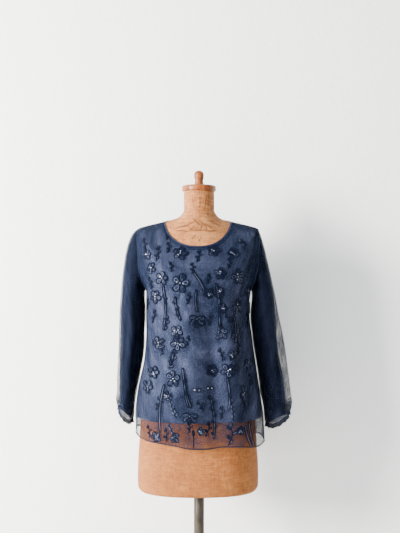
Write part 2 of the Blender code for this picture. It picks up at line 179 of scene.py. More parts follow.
def stretched(tree, point, scale):
    return addNode(tree, "ShaderNodeMapping", {"Vector": point, "Scale": scale}).outputs[0]


def ranged(tree, value, low, high):
    return addNode(tree, "ShaderNodeMapRange",
                   {"Value": value, "From Min": low, "From Max": high}).outputs[0]


def noise(tree, point, scale, detail=3.0, roughness=0.55, distortion=0.0):
    return addNode(tree, "ShaderNodeTexNoise", {
        "Vector": point, "Scale": scale, "Detail": detail, "Roughness": roughness,
        "Distortion": distortion}).outputs["Fac"]


# Mottle: cloud noise pushed apart by a contrast, 0 to 1
def makeMottle():
    tree, given, out = newGroup("mottle", "Mask", Scale=8.0, Contrast=2.0)
    centred = compute(tree, "SUBTRACT", noise(tree, given["Vector"], given["Scale"], 5.0, 0.6), 0.5)
    spread = compute(tree, "MULTIPLY_ADD", centred, given["Contrast"], 0.5)
    tree.links.new(addNode(tree, "ShaderNodeClamp", {"Value": spread}).outputs[0], out["Mask"])
    return tree


# Net: two families of slanting threads, 1 on a thread and 0 in a hole
def makeNet():
    tree, given, out = newGroup("openNet", "Mask", Cells=620.0, Thread=0.11)
    split, lines = axes(tree, given["Vector"]), []
    for slope in (0.62, -0.62):
        slant = compute(tree, "MULTIPLY_ADD", split["Y"], slope, split["X"])
        place = compute(tree, "FRACT", compute(tree, "MULTIPLY", slant, given["Cells"]))
        away = compute(tree, "ABSOLUTE", compute(tree, "SUBTRACT", place, 0.5))
        lines.append(compute(tree, "LESS_THAN", away, given["Thread"]))
    tree.links.new(compute(tree, "MAXIMUM", *lines), out["Mask"])
    return tree


# Weave: warp and weft waves crossed, broken up by slubs, as a height from 0 to 1
def makeWeave():
    tree, given, out = newGroup("weave", "Height", Threads=900.0, Slub=0.4)
    split = axes(tree, given["Vector"])
    crossed = compute(tree, "ADD", *(
        compute(tree, "PINGPONG", compute(tree, "MULTIPLY", split[axis], given["Threads"]), 0.5)
        for axis in ("X", "Y")))
    slub = noise(tree, stretched(tree, given["Vector"], (160, 900, 1)), 1.0, 2.0)
    uneven = compute(tree, "MULTIPLY", slub, given["Slub"])
    tree.links.new(compute(tree, "ADD", crossed, uneven), out["Height"])
    return tree


# Crinkle: soft long wrinkles with fine ones between them, as a height
def makeCrinkle():
    tree, given, out = newGroup("crinkle", "Height", Scale=30.0, Fine=0.3)
    long = stretched(tree, given["Vector"], (1.6, 0.6, 1.0))
    soft = noise(tree, long, given["Scale"], 3.0, 0.5, 0.6)
    quick = compute(tree, "MULTIPLY", given["Scale"], 5.0)
    fine = noise(tree, given["Vector"], quick, 2.0, 0.5)
    tree.links.new(compute(tree, "MULTIPLY_ADD", fine, given["Fine"], soft), out["Height"])
    return tree


mottle, openNet, weave, crinkle = makeMottle(), makeNet(), makeWeave(), makeCrinkle()


def bumped(tree, shader, height, distance, strength=1.0):
    feed(shader, "Normal", addNode(tree, "ShaderNodeBump", {
        "Height": height, "Distance": distance, "Strength": strength}).outputs["Normal"])


# Materials

clothLooks = {
    "mesh": {"tones": ((0.004, 0.0075, 0.019), (0.012, 0.018, 0.040)), "hole": 0.0, "thread": 0.50},
    "sleeveMesh": {"tones": ((0.0012, 0.003, 0.009), (0.0165, 0.0215, 0.044)), "hole": 0.0,
                   "thread": 0.60},
    "ruffleMesh": {"tones": ((0.0012, 0.003, 0.009), (0.0165, 0.0215, 0.044)), "hole": 0.70,
                   "thread": 0.27},
    "blotch": 0.2,
    "densityAndShade": 0.42,
    "most": 0.97,
    "lining": ((0.0085, 0.0125, 0.028), (0.076, 0.085, 0.150)),
    "sleeveLining": ((0.001, 0.0024, 0.007), (0.0035, 0.0065, 0.0165)),
}


# Sheer net: opaque threads, holes less or more clear with the mottle. The density attribute makes
# doubled seam edges, the hem, and crowded gathers more opaque, and near the side seams and the
# sleeves' inner seams it also thickens the dark net as painted shade between sleeves and body
def sheerLook(name, cloth):
    look, tree, shader = newLook(name, Roughness=0.7, Specular_IOR_Level=0.03)
    point, sizes = clothPoint(tree), clothLooks[cloth]
    cloud = placeGroup(tree, mottle, Vector=point, Scale=24.0, Contrast=3.0)
    feed(shader, "Base Color", blend(tree, cloud, *sizes["tones"]))
    spare = compute(tree, "MULTIPLY_ADD", cloud, clothLooks["blotch"], sizes["hole"])
    net = placeGroup(tree, openNet, Vector=point)
    alpha = compute(tree, "MULTIPLY_ADD", net, sizes["thread"], spare)
    alpha = compute(tree, "MULTIPLY_ADD", densityAndShadeMask(tree), clothLooks["densityAndShade"], alpha)
    feed(shader, "Alpha", addNode(tree, "ShaderNodeClamp", {
        "Value": alpha, "Max": clothLooks["most"]}).outputs[0])
    wrinkle = placeGroup(tree, crinkle, Vector=point, Scale=34.0, Fine=0.06)
    bumped(tree, shader, wrinkle, 0.0035, 0.8)
    return look


# Lining: two tones by the mottle, with a fine weave and long wrinkles as relief
def liningLook(name, cloth, wrinkle, gloss):
    look, tree, shader = newLook(name, Roughness=0.42, Specular_IOR_Level=gloss,
                                 Specular_Tint=(0.45, 0.56, 1.0, 1), Sheen_Weight=0.05,
                                 Sheen_Tint=(0.6, 0.7, 1.0, 1))
    point = clothPoint(tree)
    cloud = placeGroup(tree, mottle, Vector=point, Scale=11.0, Contrast=3.6)
    feed(shader, "Base Color", blend(tree, cloud, *clothLooks[cloth]))
    threads = placeGroup(tree, weave, Vector=point, Threads=1500.0)
    folds = placeGroup(tree, crinkle, Vector=point, Scale=22.0, Fine=0.06)
    bumped(tree, shader, compute(tree, "MULTIPLY_ADD", threads, 0.003, folds), wrinkle)
    return look


# The second tone paints a glint on the strands' raised crowns; on the pale glint cords it paints
# the glints of the embroidery
threadLooks = {  # colour, pale strands, twist, roughness, specular and its tint
    "bindingCloth": ((0.005, 0.008, 0.021), (0.020, 0.028, 0.062), 300, 0.5, 0.3, (0.6, 0.68, 1)),
    "darkTrim": ((0.003, 0.005, 0.013), (0.016, 0.022, 0.046), 500, 0.6, 0.15, (1, 1, 1)),
    "darkCord": ((0.001, 0.0022, 0.007), (0.008, 0.012, 0.032), 420, 0.5, 0.05, (0.6, 0.68, 1)),
    # Glint cords: pale cords laid where the embroidery only shows glints, a painted glint
    "glintCord": ((0.014, 0.020, 0.046), (0.31, 0.35, 0.50), 420, 0.35, 0.3, (0.7, 0.78, 1)),
    "petalSilk": ((0.0025, 0.0045, 0.014), (0.016, 0.023, 0.058), 900, 0.34, 0.12,
                  (0.6, 0.68, 1)),
}


# Thread: strands slanting round a cord, broken up by the mottle. The glint tone on the strands'
# raised crowns is a painted glint
def threadLook(name, colour, glint, twist, roughness, specular, tint):
    look, tree, shader = newLook(name, Roughness=roughness, Specular_IOR_Level=specular,
                                 Specular_Tint=(*tint, 1))
    split = axes(tree, clothPoint(tree))
    turns = compute(tree, "MULTIPLY", split["X"], 3)
    strand = compute(tree, "PINGPONG",
                     compute(tree, "MULTIPLY_ADD", split["Y"], twist, turns), 0.5)
    cloud = placeGroup(tree, mottle, Vector=objectPoint(tree), Scale=60.0, Contrast=3.0)
    feed(shader, "Base Color", blend(tree, compute(tree, "MULTIPLY", strand, cloud), colour, glint))
    bumped(tree, shader, strand, 0.0005)
    return look


def sequinLook():
    look, tree, shader = newLook("sequinShine", Roughness=0.16, Coat_Weight=0.5,
                                 Coat_Roughness=0.08, Metallic=0.55)
    cloud = placeGroup(tree, mottle, Vector=objectPoint(tree), Scale=90.0, Contrast=4.0)
    feed(shader, "Base Color", blend(tree, cloud, (0.26, 0.30, 0.46), (0.66, 0.68, 0.78)))
    return look


linenLooks = {
    "shade": (0.090, 0.021, 0.0038),
    "tan": (0.215, 0.062, 0.0125),
    "light": (0.305, 0.114, 0.029),
    "neck": (0.47, 0.205, 0.072),
    "stain": (0.125, 0.029, 0.0055),
    # painted shade under the paste wrinkles
    "wrinkleShade": (0.060, 0.016, 0.0045),
    "along": 34,  # stretch of the streaks along and across their threads
    "over": 230,
    "rise": (0.9, 1.3),  # heights in metres between which the linen turns paler
}


# Linen pasted on paper: streaks along the warp and the weft, stains, pale flecks and a thread
# relief, paler towards the neck. The density attribute paints shade along the lower edge of each
# paste wrinkle
def linenLook():
    look, tree, shader = newLook("agedLinen", Roughness=0.7, Specular_IOR_Level=0.15)
    point, long, thin = objectPoint(tree), linenLooks["along"], linenLooks["over"]
    across = noise(tree, stretched(tree, point, (long, long, thin)), 1.0, 4.0, 0.65)
    upright = noise(tree, stretched(tree, point, (thin, thin, long)), 1.0, 4.0, 0.65)
    streak = compute(tree, "ADD", compute(tree, "MULTIPLY", across, 0.62),
                     compute(tree, "MULTIPLY", upright, 0.38))
    streak = ranged(tree, streak, 0.42, 0.60)
    cloud, stain, fleck = (
        placeGroup(tree, mottle, Vector=point, Scale=scale, Contrast=contrast)
        for scale, contrast in ((9.0, 3.0), (24.0, 6.0), (130.0, 7.0)))
    rise = ranged(tree, axes(tree, point)["Z"], *linenLooks["rise"])
    light = blend(tree, rise, linenLooks["light"], linenLooks["neck"])
    colour = blend(tree, cloud, linenLooks["tan"], light)
    dim = compute(tree, "SUBTRACT", 1.0, streak)
    for mask, share, tone in ((streak, 0.7, light), (dim, 0.42, linenLooks["shade"]),
                              (fleck, 0.3, light), (stain, 0.25, linenLooks["stain"])):
        colour = blend(tree, compute(tree, "MULTIPLY", mask, share), colour, tone)
    # Painted shade under the paste wrinkles, from the density attribute
    feed(shader, "Base Color", blend(tree, densityAndShadeMask(tree), colour, linenLooks["wrinkleShade"]))
    bumped(tree, shader, compute(tree, "ADD", across, upright), 0.0013, 0.9)
    return look


# Wood: grain along the height in two tones, paler and rougher where the varnish is worn
def woodLook():
    look, tree, shader = newLook("varnishedWood", Roughness=0.4, Coat_Weight=0.08,
                                 Coat_Roughness=0.2, Specular_IOR_Level=0.2)
    point = objectPoint(tree)
    grain = noise(tree, stretched(tree, point, (90, 14, 60)), 1.0, 4.0, 0.6)
    grain = ranged(tree, grain, 0.38, 0.64)
    worn = placeGroup(tree, mottle, Vector=point, Scale=40.0, Contrast=4.0)
    colour = blend(tree, grain, (0.105, 0.021, 0.0030), (0.245, 0.066, 0.0110))
    rubbed = compute(tree, "MULTIPLY", worn, 0.3)
    feed(shader, "Base Color", blend(tree, rubbed, colour, (0.31, 0.115, 0.030)))
    feed(shader, "Roughness", compute(tree, "MULTIPLY_ADD", worn, 0.25, 0.3))
    bumped(tree, shader, grain, 0.0004)
    return look


# Metal: streaks and tarnish share the tone, and the tarnish is rougher
def metalLook(name, dark, light, streaks, roughness, metallic):
    look, tree, shader = newLook(name, Metallic=metallic)
    point = objectPoint(tree)
    brushed = noise(tree, stretched(tree, point, streaks), 1.0, 4.0, 0.6)
    tarnish = placeGroup(tree, mottle, Vector=point, Scale=22.0, Contrast=3.5)
    tone = compute(tree, "MULTIPLY", compute(tree, "ADD", brushed, tarnish), 0.5)
    feed(shader, "Base Color", blend(tree, tone, dark, light))
    feed(shader, "Roughness", compute(tree, "MULTIPLY_ADD", tarnish, 0.25, roughness))
    bumped(tree, shader, brushed, 0.0003)
    return look


# Wall and floor of the room. From behind, the wall lets the view through
def plasterLook(name, colour, seeThrough):
    look, tree, shader = newLook(name, Roughness=0.9)
    point = objectPoint(tree)
    cloud = placeGroup(tree, mottle, Vector=point, Scale=1.3, Contrast=1.4)
    feed(shader, "Base Color", blend(tree, cloud, [value * 0.975 for value in colour], colour))
    bumped(tree, shader, noise(tree, point, 45.0), 0.0012)
    if seeThrough:
        clear = addNode(tree, "ShaderNodeBsdfTransparent").outputs[0]
        behind = addNode(tree, "ShaderNodeNewGeometry").outputs["Backfacing"]
        mix = addNode(tree, "ShaderNodeMixShader", {0: behind, 1: shader.outputs[0], 2: clear})
        tree.links.new(mix.outputs[0], tree.nodes["Material Output"].inputs["Surface"])
    return look


sheer, sleeveSheer, ruffleCloth = (sheerLook(*names) for names in (
    ("sheerNet", "mesh"), ("sheerSleeve", "sleeveMesh"), ("ruffleNet", "ruffleMesh")))
liningCloth = liningLook("dustyLining", "lining", 0.006, 0.27)
sleeveLiningCloth = liningLook("darkLining", "sleeveLining", 0.004, 0.02)
bindingCloth, darkTrim, darkCord, glintCord, petalSilk = (
    threadLook(name, *row) for name, row in threadLooks.items())
sequinShine, agedLinen, varnishedWood = sequinLook(), linenLook(), woodLook()
wornSteel = metalLook("wornSteel", (0.024, 0.0195, 0.014), (0.084, 0.073, 0.058), (120, 120, 9),
                      0.30, 0.85)
darkIron = metalLook("darkIron", (0.021, 0.019, 0.017), (0.058, 0.051, 0.044), (40, 40, 40),
                     0.45, 0.6)


def addStage():
    w, y, front, top = room["halfWidth"], room["wallY"], room["floorFront"], room["wallTop"]
    corners = {
        "wall": ((-w, y, 0), (w, y, 0), (w, y, top), (-w, y, top)),
        "floor": ((-w, front, 0), (w, front, 0), (w, room["floorBack"], 0),
                  (-w, room["floorBack"], 0)),
    }
    for name, points in corners.items():
        mesh = bpy.data.meshes.new(name)
        mesh.from_pydata(points, [], [(0, 1, 2, 3)])
        mesh.materials.append(plasterLook(name, room[name + "Colour"], name == "wall"))
        item = bpy.data.objects.new(name, mesh)
        bpy.context.scene.collection.objects.link(item)


addStage()
print("materials and stage made")


# Mesh tools

def unit(vectors, tiny=0):
    return vectors / (np.linalg.norm(vectors, axis=-1, keepdims=True) + tiny)


# Angles evenly round a circle
def circle(count):
    return np.arange(count) * 2 * math.pi / count


# Length run along an axis of a grid of points, from 0
def runLength(grid, axis):
    run = np.cumsum(np.linalg.norm(np.diff(grid, axis=axis), axis=-1), axis=axis)
    return np.insert(run, 0, 0, axis=axis)


# Quads of a grid of points with their places in the grid's own cloth map, one column wider
def gridQuads(rows, columns, around):
    last = columns if around else columns - 1
    i, j = np.meshgrid(np.arange(rows - 1), np.arange(last), indexing="ij")

    def corners(wide, right):
        return np.stack((i * wide + j, i * wide + right, (i + 1) * wide + right,
                         (i + 1) * wide + j), -1).reshape(-1, 4)

    return corners(columns, (j + 1) % columns), corners(last + 1, j + 1)


# Cloth map in metres: length along each row from its middle, and length down from the top row
def clothMap(grid, around):
    wide = np.concatenate((grid, grid[:, :1]), 1) if around else grid
    u, v = runLength(wide, 1), runLength(wide, 0)
    return np.stack((u - u.mean(axis=1, keepdims=True), -v), -1).reshape(-1, 2) * mm


# Faces are turned over where the volume that they close comes out negative
def buildMesh(name, points, quads, uv, look, triangles=None, sharp=None, densityAndShade=None):
    triangles = np.empty((0, 3), int) if triangles is None else triangles

    def volume(a, b, c):
        return np.einsum("ij,ij->", points[a], np.cross(points[b], points[c]))

    total = sum(volume(*corners.T) for corners in (quads[:, :3], quads[:, [0, 2, 3]], triangles))
    way = -1 if total < 0 else 1
    mesh = bpy.data.meshes.new(name)
    mesh.from_pydata((points * mm).tolist(), [],
                     quads[:, ::way].tolist() + triangles[:, ::way].tolist())
    places = np.zeros((len(mesh.loops), 2), np.float32)
    places[:quads.size] = uv[:, ::way].reshape(-1, 2)
    mesh.uv_layers.new(name="cloth").uv.foreach_set("vector", places.ravel())
    if densityAndShade is not None:
        mesh.attributes.new("densityAndShade", "FLOAT", "POINT").data.foreach_set("value", densityAndShade)
    mesh.shade_smooth()
    if sharp:
        mesh.set_sharp_from_angle(angle=math.radians(sharp))
    mesh.materials.append(look)
    item = bpy.data.objects.new(name, mesh)
    bpy.context.scene.collection.objects.link(item)
    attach(item, "root")
    return item


# A cloth wall between two grids: both faces, and strips that close its edges
def clothWall(name, outer, inner, look, around=False, densityAndShade=None):
    rows, columns = outer.shape[:2]
    size = rows * columns
    quads, places = gridQuads(rows, columns, around)
    uv = clothMap(outer, around)
    index = np.arange(size).reshape(rows, columns)
    wide = columns + 1 if around else columns
    spot = np.arange(rows * wide).reshape(rows, wide)
    if around:
        runs = [(np.append(index[0], index[0, 0]), spot[0], -1),
                (np.append(index[-1], index[-1, 0]), spot[-1], 1)]
    else:
        def rim(grid):
            return np.concatenate((grid[0], grid[1:, -1], grid[-1, -2::-1], grid[-2::-1, 0]))
        runs = [(rim(index), rim(spot), -1)]
    faces, corners = [quads, (quads + size)[:, ::-1]], [uv[places], uv[places][:, ::-1]]
    for run, mark, way in runs:
        strip = np.stack((run[:-1], run[1:], run[1:] + size, run[:-1] + size), -1)
        edge = uv[np.stack((mark[:-1], mark[1:], mark[1:], mark[:-1]), -1)]
        faces.append(strip[:, ::way])
        corners.append(edge[:, ::way])
    points = np.concatenate((outer.reshape(-1, 3), inner.reshape(-1, 3)))
    if densityAndShade is not None:
        densityAndShade = np.tile(np.clip(densityAndShade, 0, 1).ravel(), 2).astype(np.float32)
    return buildMesh(name, points, np.concatenate(faces), np.concatenate(corners), look,
                     densityAndShade=densityAndShade)


# Fans that close the two ends of a grid that runs round, on two points added after it
def endFans(rows, columns):
    loop, size = np.append(np.arange(columns), 0), rows * columns
    last = size - columns
    return np.concatenate((
        np.stack((loop[1:], loop[:-1], np.full(columns, size)), -1),
        np.stack((loop[:-1] + last, loop[1:] + last, np.full(columns, size + 1)), -1)))


# A grid that runs round, closed by a fan at each end
def cappedPiece(name, grid, ends, look, sharp, densityAndShade=None):
    rows, columns = grid.shape[:2]
    quads, places = gridQuads(rows, columns, True)
    return buildMesh(name, np.concatenate((grid.reshape(-1, 3), ends)), quads,
                     clothMap(grid, True)[places], look, endFans(rows, columns), sharp, densityAndShade)


# A grid that closes on itself both ways
def ringPiece(name, grid, look, sharp=None):
    size, grid = grid[..., 0].size, np.concatenate((grid, grid[:1]))
    quads, places = gridQuads(len(grid), grid.shape[1], True)
    return buildMesh(name, grid[:-1].reshape(-1, 3), quads % size, clothMap(grid, True)[places],
                     look, None, sharp)


# A turned solid: a profile of (radius, height) carried round the axis
def turnedPiece(name, profile, segments, look):
    profile, turn = np.array(profile, float)[..., None], circle(segments)
    ring = np.stack((np.cos(turn), np.sin(turn), np.zeros(segments)), -1)
    radius, height = profile[1:-1, 0, None], profile[1:-1, 1, None]
    ends = [(0, 0, profile[end, 1, 0]) for end in (0, -1)]
    return cappedPiece(name, radius * ring + [0, 0, 1] * height, ends, look, 35)


# A cubic through values at 0, 1, 2 ... that never overshoots them
def through(values, at):
    at = np.asarray(at, float)
    step = np.diff(values)
    product = step[:-1] * step[1:]
    total = np.where(product > 0, step[:-1] + step[1:], 1)
    slope = np.concatenate(([step[0]], np.where(product > 0, 2 * product / total, 0), [step[-1]]))
    low = np.clip(np.floor(at).astype(int), 0, len(values) - 2)
    t = at - low
    return (values[low] * (1 + 2 * t) * (1 - t) ** 2 + values[low + 1] * t * t * (3 - 2 * t)
            + slope[low] * t * (1 - t) ** 2 + slope[low + 1] * t * t * (t - 1))


# Soft noise about -1 to 1: a sum of cosine waves of one length in seeded directions
def softNoise(u, v, length, seed, waves=12):
    pick = np.random.default_rng(seed)
    total = 0
    for way, phase, stretch in zip(pick.uniform(0, math.pi, waves),
                                   pick.uniform(0, 2 * math.pi, waves),
                                   pick.uniform(0.7, 1.6, waves)):
        along = (u * math.cos(way) + v * math.sin(way)) * 2 * math.pi / (length * stretch)
        total = total + np.cos(along + phase)
    return total / math.sqrt(waves / 2) / 1.6


# The body: rings that pass over the shoulders at sideZ and dip to frontZ and backZ

bodyColumns = (
    "sideZ", "frontZ", "backZ", "formHalf", "formFront", "formBack", "clothHalf", "clothFront",
    "clothBack", "formCentre", "clothCentre", "square", "ridge", "float", "corner",
)
bodyRings = {
    "neckTop": (1491, 1491, 1491, 46, 47, 47, 46, 47, 47, 0, 0, 1, 0.6, 0, 0),
    "neckLow": (1437, 1421, 1440, 46, 48, 47, 46, 48, 47, 0, 0, 1, 0.6, 0, 0),
    "neckFlare": (1423, 1402, 1431, 52, 54, 49, 52, 54, 49, -0.5, -0.5, 1, 0.5, 0, 0),
    "neckRoot": (1411, 1380, 1422, 65, 65, 53, 65, 65, 53, -1.5, -1.5, 0.95, 0.3, 0, 0),
    "collarLine": (1404, 1352, 1416, 83, 77, 57.5, 83, 77, 57.5, -3, -3, 0.9, 0.2, 0, 0),
    "neckline": (1398, 1321, 1409, 101, 88.5, 62, 101, 88.5, 62, -4, -4, 0.87, 0.15, 0, 0),
    "yokeInner": (1391, 1300, 1385, 130, 98, 80, 130, 98, 80, -3.5, -3.5, 0.9, 0.3, 0, 0),
    "yokeOuter": (1384, 1280, 1340, 157, 105, 95, 157, 105, 95, -3, -3, 0.92, 0.5, 0, 0),
    "shoulderTip": (1377, 1258, 1290, 176, 111, 104, 177, 111, 104, -3, -3, 0.94, 0.8, 0, 0),
    "upperArmhole": (1346, 1244, 1262, 174, 115, 107, 191, 117, 109, -3, -2, 0.95, 1, 0, -4),
    "midArmhole": (1290, 1225, 1232, 168, 119, 109, 194, 121, 111, -3, -2, 0.95, 1, 0, -7),
    "lowArmhole": (1238, 1208, 1210, 155, 121, 110, 177, 124, 113, -3, -1.5, 0.95, 1, 0, -1),
    "underarm": (1196, 1196, 1196, 146, 122, 110, 154.6, 125, 114, -3, -1.5, 0.94, 1, 0, 9),
    "bust": (1160, 1160, 1160, 142, 123, 108, 152, 127, 115, -3, -4, 0.92, 1, 0, 7),
    "underbust": (1110, 1110, 1110, 131, 112, 101, 152.5, 128, 117, -3, -3.5, 0.9, 1, 0, 3.5),
    "waist": (1061, 1061, 1061, 118, 92, 85, 155.5, 129, 119, -3, 0, 0.88, 1, 0, 1),
    "highHip": (990, 990, 990, 139, 102, 100, 163, 130, 122, -3, 1.5, 0.87, 1, 0.2, 0),
    "hip": (923, 923, 923, 157, 111, 114, 173.5, 132, 126, -3, -0.5, 0.86, 1, 1.2, 0),
    "lowHip": (875, 875, 875, 165, 115, 119, 178.5, 133, 129, -3, -1, 0.85, 1, 3, 0),
    "liningHem": (821, 821, 821, 171, 117, 121, 181, 134, 131, -3, 1, 0.85, 1, 5.5, 0),
    "overlayHem": (752, 752, 752, 175.5, 118, 120, 180, 136, 133, -3, 3.5, 0.85, 1, 6, 0),
    "formLow": (640, 640, 640, 181, 117, 117, 181, 137, 134, -3, 3, 0.86, 1, 6, 0),
    "formEdge": (613, 613, 613, 180, 116, 116, 181, 137, 134, -3, 3, 0.86, 1, 6, 0),
    "formUnder": (602, 602, 602, 173, 110, 110, 181, 137, 134, -3, 3, 0.86, 1, 6, 0),
}
column = {name: np.array([row[i] for row in bodyRings.values()], float)
          for i, name in enumerate(bodyColumns)}
level = {name: i for i, name in enumerate(bodyRings)}


# Ring point: x = centre + half cos^square, y = -depth sin^square, z by the dip's rounded reach
def bodySurface(row, angle, skin):
    across, along = np.cos(angle), np.sin(angle)
    front = along >= 0
    value = {name: through(column[name], row) for name in bodyColumns}
    depth = np.where(front, value[skin + "Front"], value[skin + "Back"])
    dip = np.where(front, value["frontZ"], value["backZ"]) - value["sideZ"]
    ridge, full, half = value["ridge"], value["square"], value[skin + "Half"]
    reach = (np.sqrt(along**2 + ridge**2) - ridge) / (np.sqrt(1 + ridge**2) - ridge)
    if skin == "cloth":
        half = half + value["corner"] * np.sin(2 * angle) ** 2
    x = value[skin + "Centre"] + half * np.sign(across) * np.abs(across) ** full
    y = -depth * np.sign(along) * np.abs(along) ** full
    return np.stack(np.broadcast_arrays(x, y, value["sideZ"] + dip * reach), -1)


# Cross product of a step round and a step down the ring surface, one long
def bodyNormal(row, angle, skin, step=0.01):
    turn = bodySurface(row, angle + step, skin) - bodySurface(row, angle - step, skin)
    fall = bodySurface(row + step, angle, skin) - bodySurface(row - step, angle, skin)
    return unit(np.cross(turn, fall))


# Ring point + normal x lift
def bodyLayer(row, angle, skin, lift):
    lift = np.broadcast_to(lift, np.broadcast(row, angle).shape)
    return bodySurface(row, angle, skin) + bodyNormal(row, angle, skin) * lift[..., None]


# Levels between two rings about one step apart down the front and the side
def evenLevels(top, bottom, step):
    fine = np.linspace(top, bottom, 2000)
    steps = [np.abs(np.gradient(through(column[name], fine)))
             for name in ("sideZ", "frontZ", "clothHalf")]
    run = np.append(0, np.cumsum(np.max(steps, axis=0)[1:]))
    return np.interp(np.linspace(0, run[-1], int(run[-1] / step) + 2), run, fine)


# Folds of the body cloth

bodyFolds = {  # soft folds that open downwards: angle, width in degrees, top height, ridge at hem
    "rows": (
        (8, 10, 1040, 4), (33, 12, 1120, 4.5), (58, 13, 1130, 6), (76, 9, 1000, -2.5),
        (112, 13, 1090, 4), (137, 11, 1140, 5.5), (164, 12, 1060, 5), (196, 12, 1080, 5),
        (222, 12, 1120, 5.5), (251, 14, 1140, 6.5), (281, 12, 1100, 5), (308, 13, 1130, 6),
        (337, 12, 1080, 5),
    ),
    "fullZ": 780,
    "growth": 1.3,
    "liningShare": 0.6,
}
# Creases: angle, height, half length in mm, half width in degrees, lift (minus is a trough) in mm,
# lean in degrees of turn for 100 mm of fall
bodyCreases = {
    "rows": (
        (70, 985, 120, 5, 0.6, 3), (79, 930, 150, 4, -2.2, -2), (98, 960, 130, 5.5, -2.4, 2.5),
        (106, 880, 95, 4, 1.8, -3), (119, 1010, 120, 5, 1.8, -3.5), (127, 905, 110, 4.5, -2, 3),
        (146, 960, 140, 5, 2, -2.5), (157, 1095, 70, 6, 1.5, 7), (151, 1185, 42, 6, 1.3, 16),
        (29, 1188, 44, 6, 1.3, -15), (38, 1065, 100, 5, -2.4, 4), (25, 955, 120, 5, 1.8, -3),
        (50, 880, 80, 4, 1.8, 3), (112, 1262, 46, 6, 0.9, -14), (63, 1255, 50, 6, 0.9, 13),
        (90, 1130, 60, 5, -1.4, 5), (135, 1120, 50, 5, -1.5, -8), (47, 786, 42, 2.3, 2.6, 5),
        (42, 780, 36, 1.8, 2.2, 4), (139, 796, 40, 2.6, 2, -5), (88, 806, 40, 3, 1.4, 2),
        (204, 985, 120, 5, 2, 2.5), (216, 900, 100, 4.5, -2, -3), (233, 1060, 100, 5.5, 1.9, -3),
        (246, 950, 130, 4.5, -2.2, 2), (262, 1010, 150, 5, 2.1, 2.5), (271, 900, 90, 4, -1.8, -2),
        (288, 985, 120, 5, -2, 3), (299, 890, 110, 4.5, 1.9, -2.5),
        (318, 1040, 110, 5.5, -1.8, 3), (330, 930, 120, 5, 1.9, -3), (346, 1080, 60, 5, 1.3, 6),
        (212, 1190, 40, 6, 1.2, -15), (326, 1192, 40, 6, 1.2, 15), (262, 1230, 60, 6, 1, 4),
        (226, 790, 38, 2.4, 2.2, -4), (312, 792, 40, 2.4, 2.2, 4), (12, 1010, 80, 4, -1.6, 4),
        (175, 1000, 90, 4.5, -1.7, -4),
    ),
    "fine": (
        (79, 940, 210, 8, -6, 0.5), (99, 930, 210, 8, 4.5, 0), (57, 960, 230, 9, 6, 0.5),
        (150, 1090, 150, 10, 2.6, -1), (79, 1075, 120, 8, -2.4, 0.5),
        (97, 1060, 130, 7, 3.2, 1.5), (61, 1030, 130, 7, 3.4, -2), (118, 1080, 90, 6, -2, 2),
        (138, 1050, 110, 6, 2.4, -2), (44, 1000, 100, 6, -2.2, 2), (73, 890, 90, 5, -2.4, 1),
        (92, 905, 80, 4.5, 2.2, -1), (131, 860, 60, 3, 1.8, 4), (86, 985, 60, 2.4, 1.1, 6),
        (101, 1010, 50, 2.2, -1, -8), (67, 955, 55, 2.4, 1.2, -7), (55, 930, 60, 2.2, -1.1, 5),
        (124, 955, 60, 2.4, 1.2, 6), (147, 1060, 45, 2.6, 1.2, 9), (109, 905, 55, 2.2, 1.1, 5),
        (36, 930, 60, 2.4, 1.2, -5), (75, 1130, 40, 2.6, 1, 10), (104, 1120, 42, 2.6, -1, -10),
        (134, 1000, 45, 2.2, -1.1, -7), (50, 1095, 45, 2.4, 1.1, 9), (241, 1050, 120, 7, 3, -2),
        (276, 1070, 120, 7, -3, 1), (296, 1030, 130, 6, 2.8, 2), (256, 960, 60, 2.4, 1.2, 6),
        (285, 930, 60, 2.4, -1.1, -6), (310, 960, 60, 2.4, 1.2, 5), (228, 960, 55, 2.4, 1.1, -7),
        (267, 1120, 45, 2.6, 1, 9), (322, 900, 60, 2.2, 1.1, -4),
    ),
}
overlaySizes = {"wall": 0.5, "gap": 0.4, "layer": 1.0, "lump": 0.35, "lumpLength": 70,
                "allowance": 8.0, "hemShare": 2.5, "gatherShade": 1.3, "gatherShadeReach": 52,
                "gatherShadeBelow": 0.55, "hemShade": 0.12, "swell": 3.5, "swellWidth": 26,
                "halfSeam": 0.2, "seed": 4}
hems = {  # the overlay's last row, by place from the left side seam (-1) to the right one (1)
    "front": ((-1, 785), (-0.93, 768), (-0.65, 763), (-0.35, 759), (-0.1, 749), (0.1, 749),
              (0.3, 755), (0.55, 753), (0.8, 745), (0.93, 745), (1, 752)),
    "back": ((-1, 785), (-0.9, 770), (-0.5, 760), (0, 756), (0.5, 753), (1, 752)),
    "softness": 0.07,
}


def angleAway(angle, place):
    return (np.degrees(angle) - place + 180) % 360 - 180


# Ridge = its height at the hem x how far down (power growth) x a bell across the angle
def bodyFold(row, angle):
    height = through(column["sideZ"], row)
    total = np.zeros(np.broadcast(row, angle).shape)
    for place, width, topZ, ridge in bodyFolds["rows"]:
        down = np.clip((topZ - height) / (topZ - bodyFolds["fullZ"]), 0, 1)
        bell = np.exp(-((angleAway(angle, place) / width) ** 2))
        total = total + ridge * down ** bodyFolds["growth"] * bell
    return total


# Crease = lift x a bell across x a flat-topped bell along, its middle line leaning as it falls
def bodyCrease(row, angle):
    height = through(column["sideZ"], row)
    total = np.zeros(np.broadcast(row, angle).shape)
    for place, middle, reach, width, lift, lean in bodyCreases["rows"] + bodyCreases["fine"]:
        fallen = (middle - height) / 100
        across = angleAway(angle, place - lean * fallen) / width
        along = (height - middle) / reach
        total = total + lift * np.exp(-(across**2)) * np.exp(-(along**4))
    return total


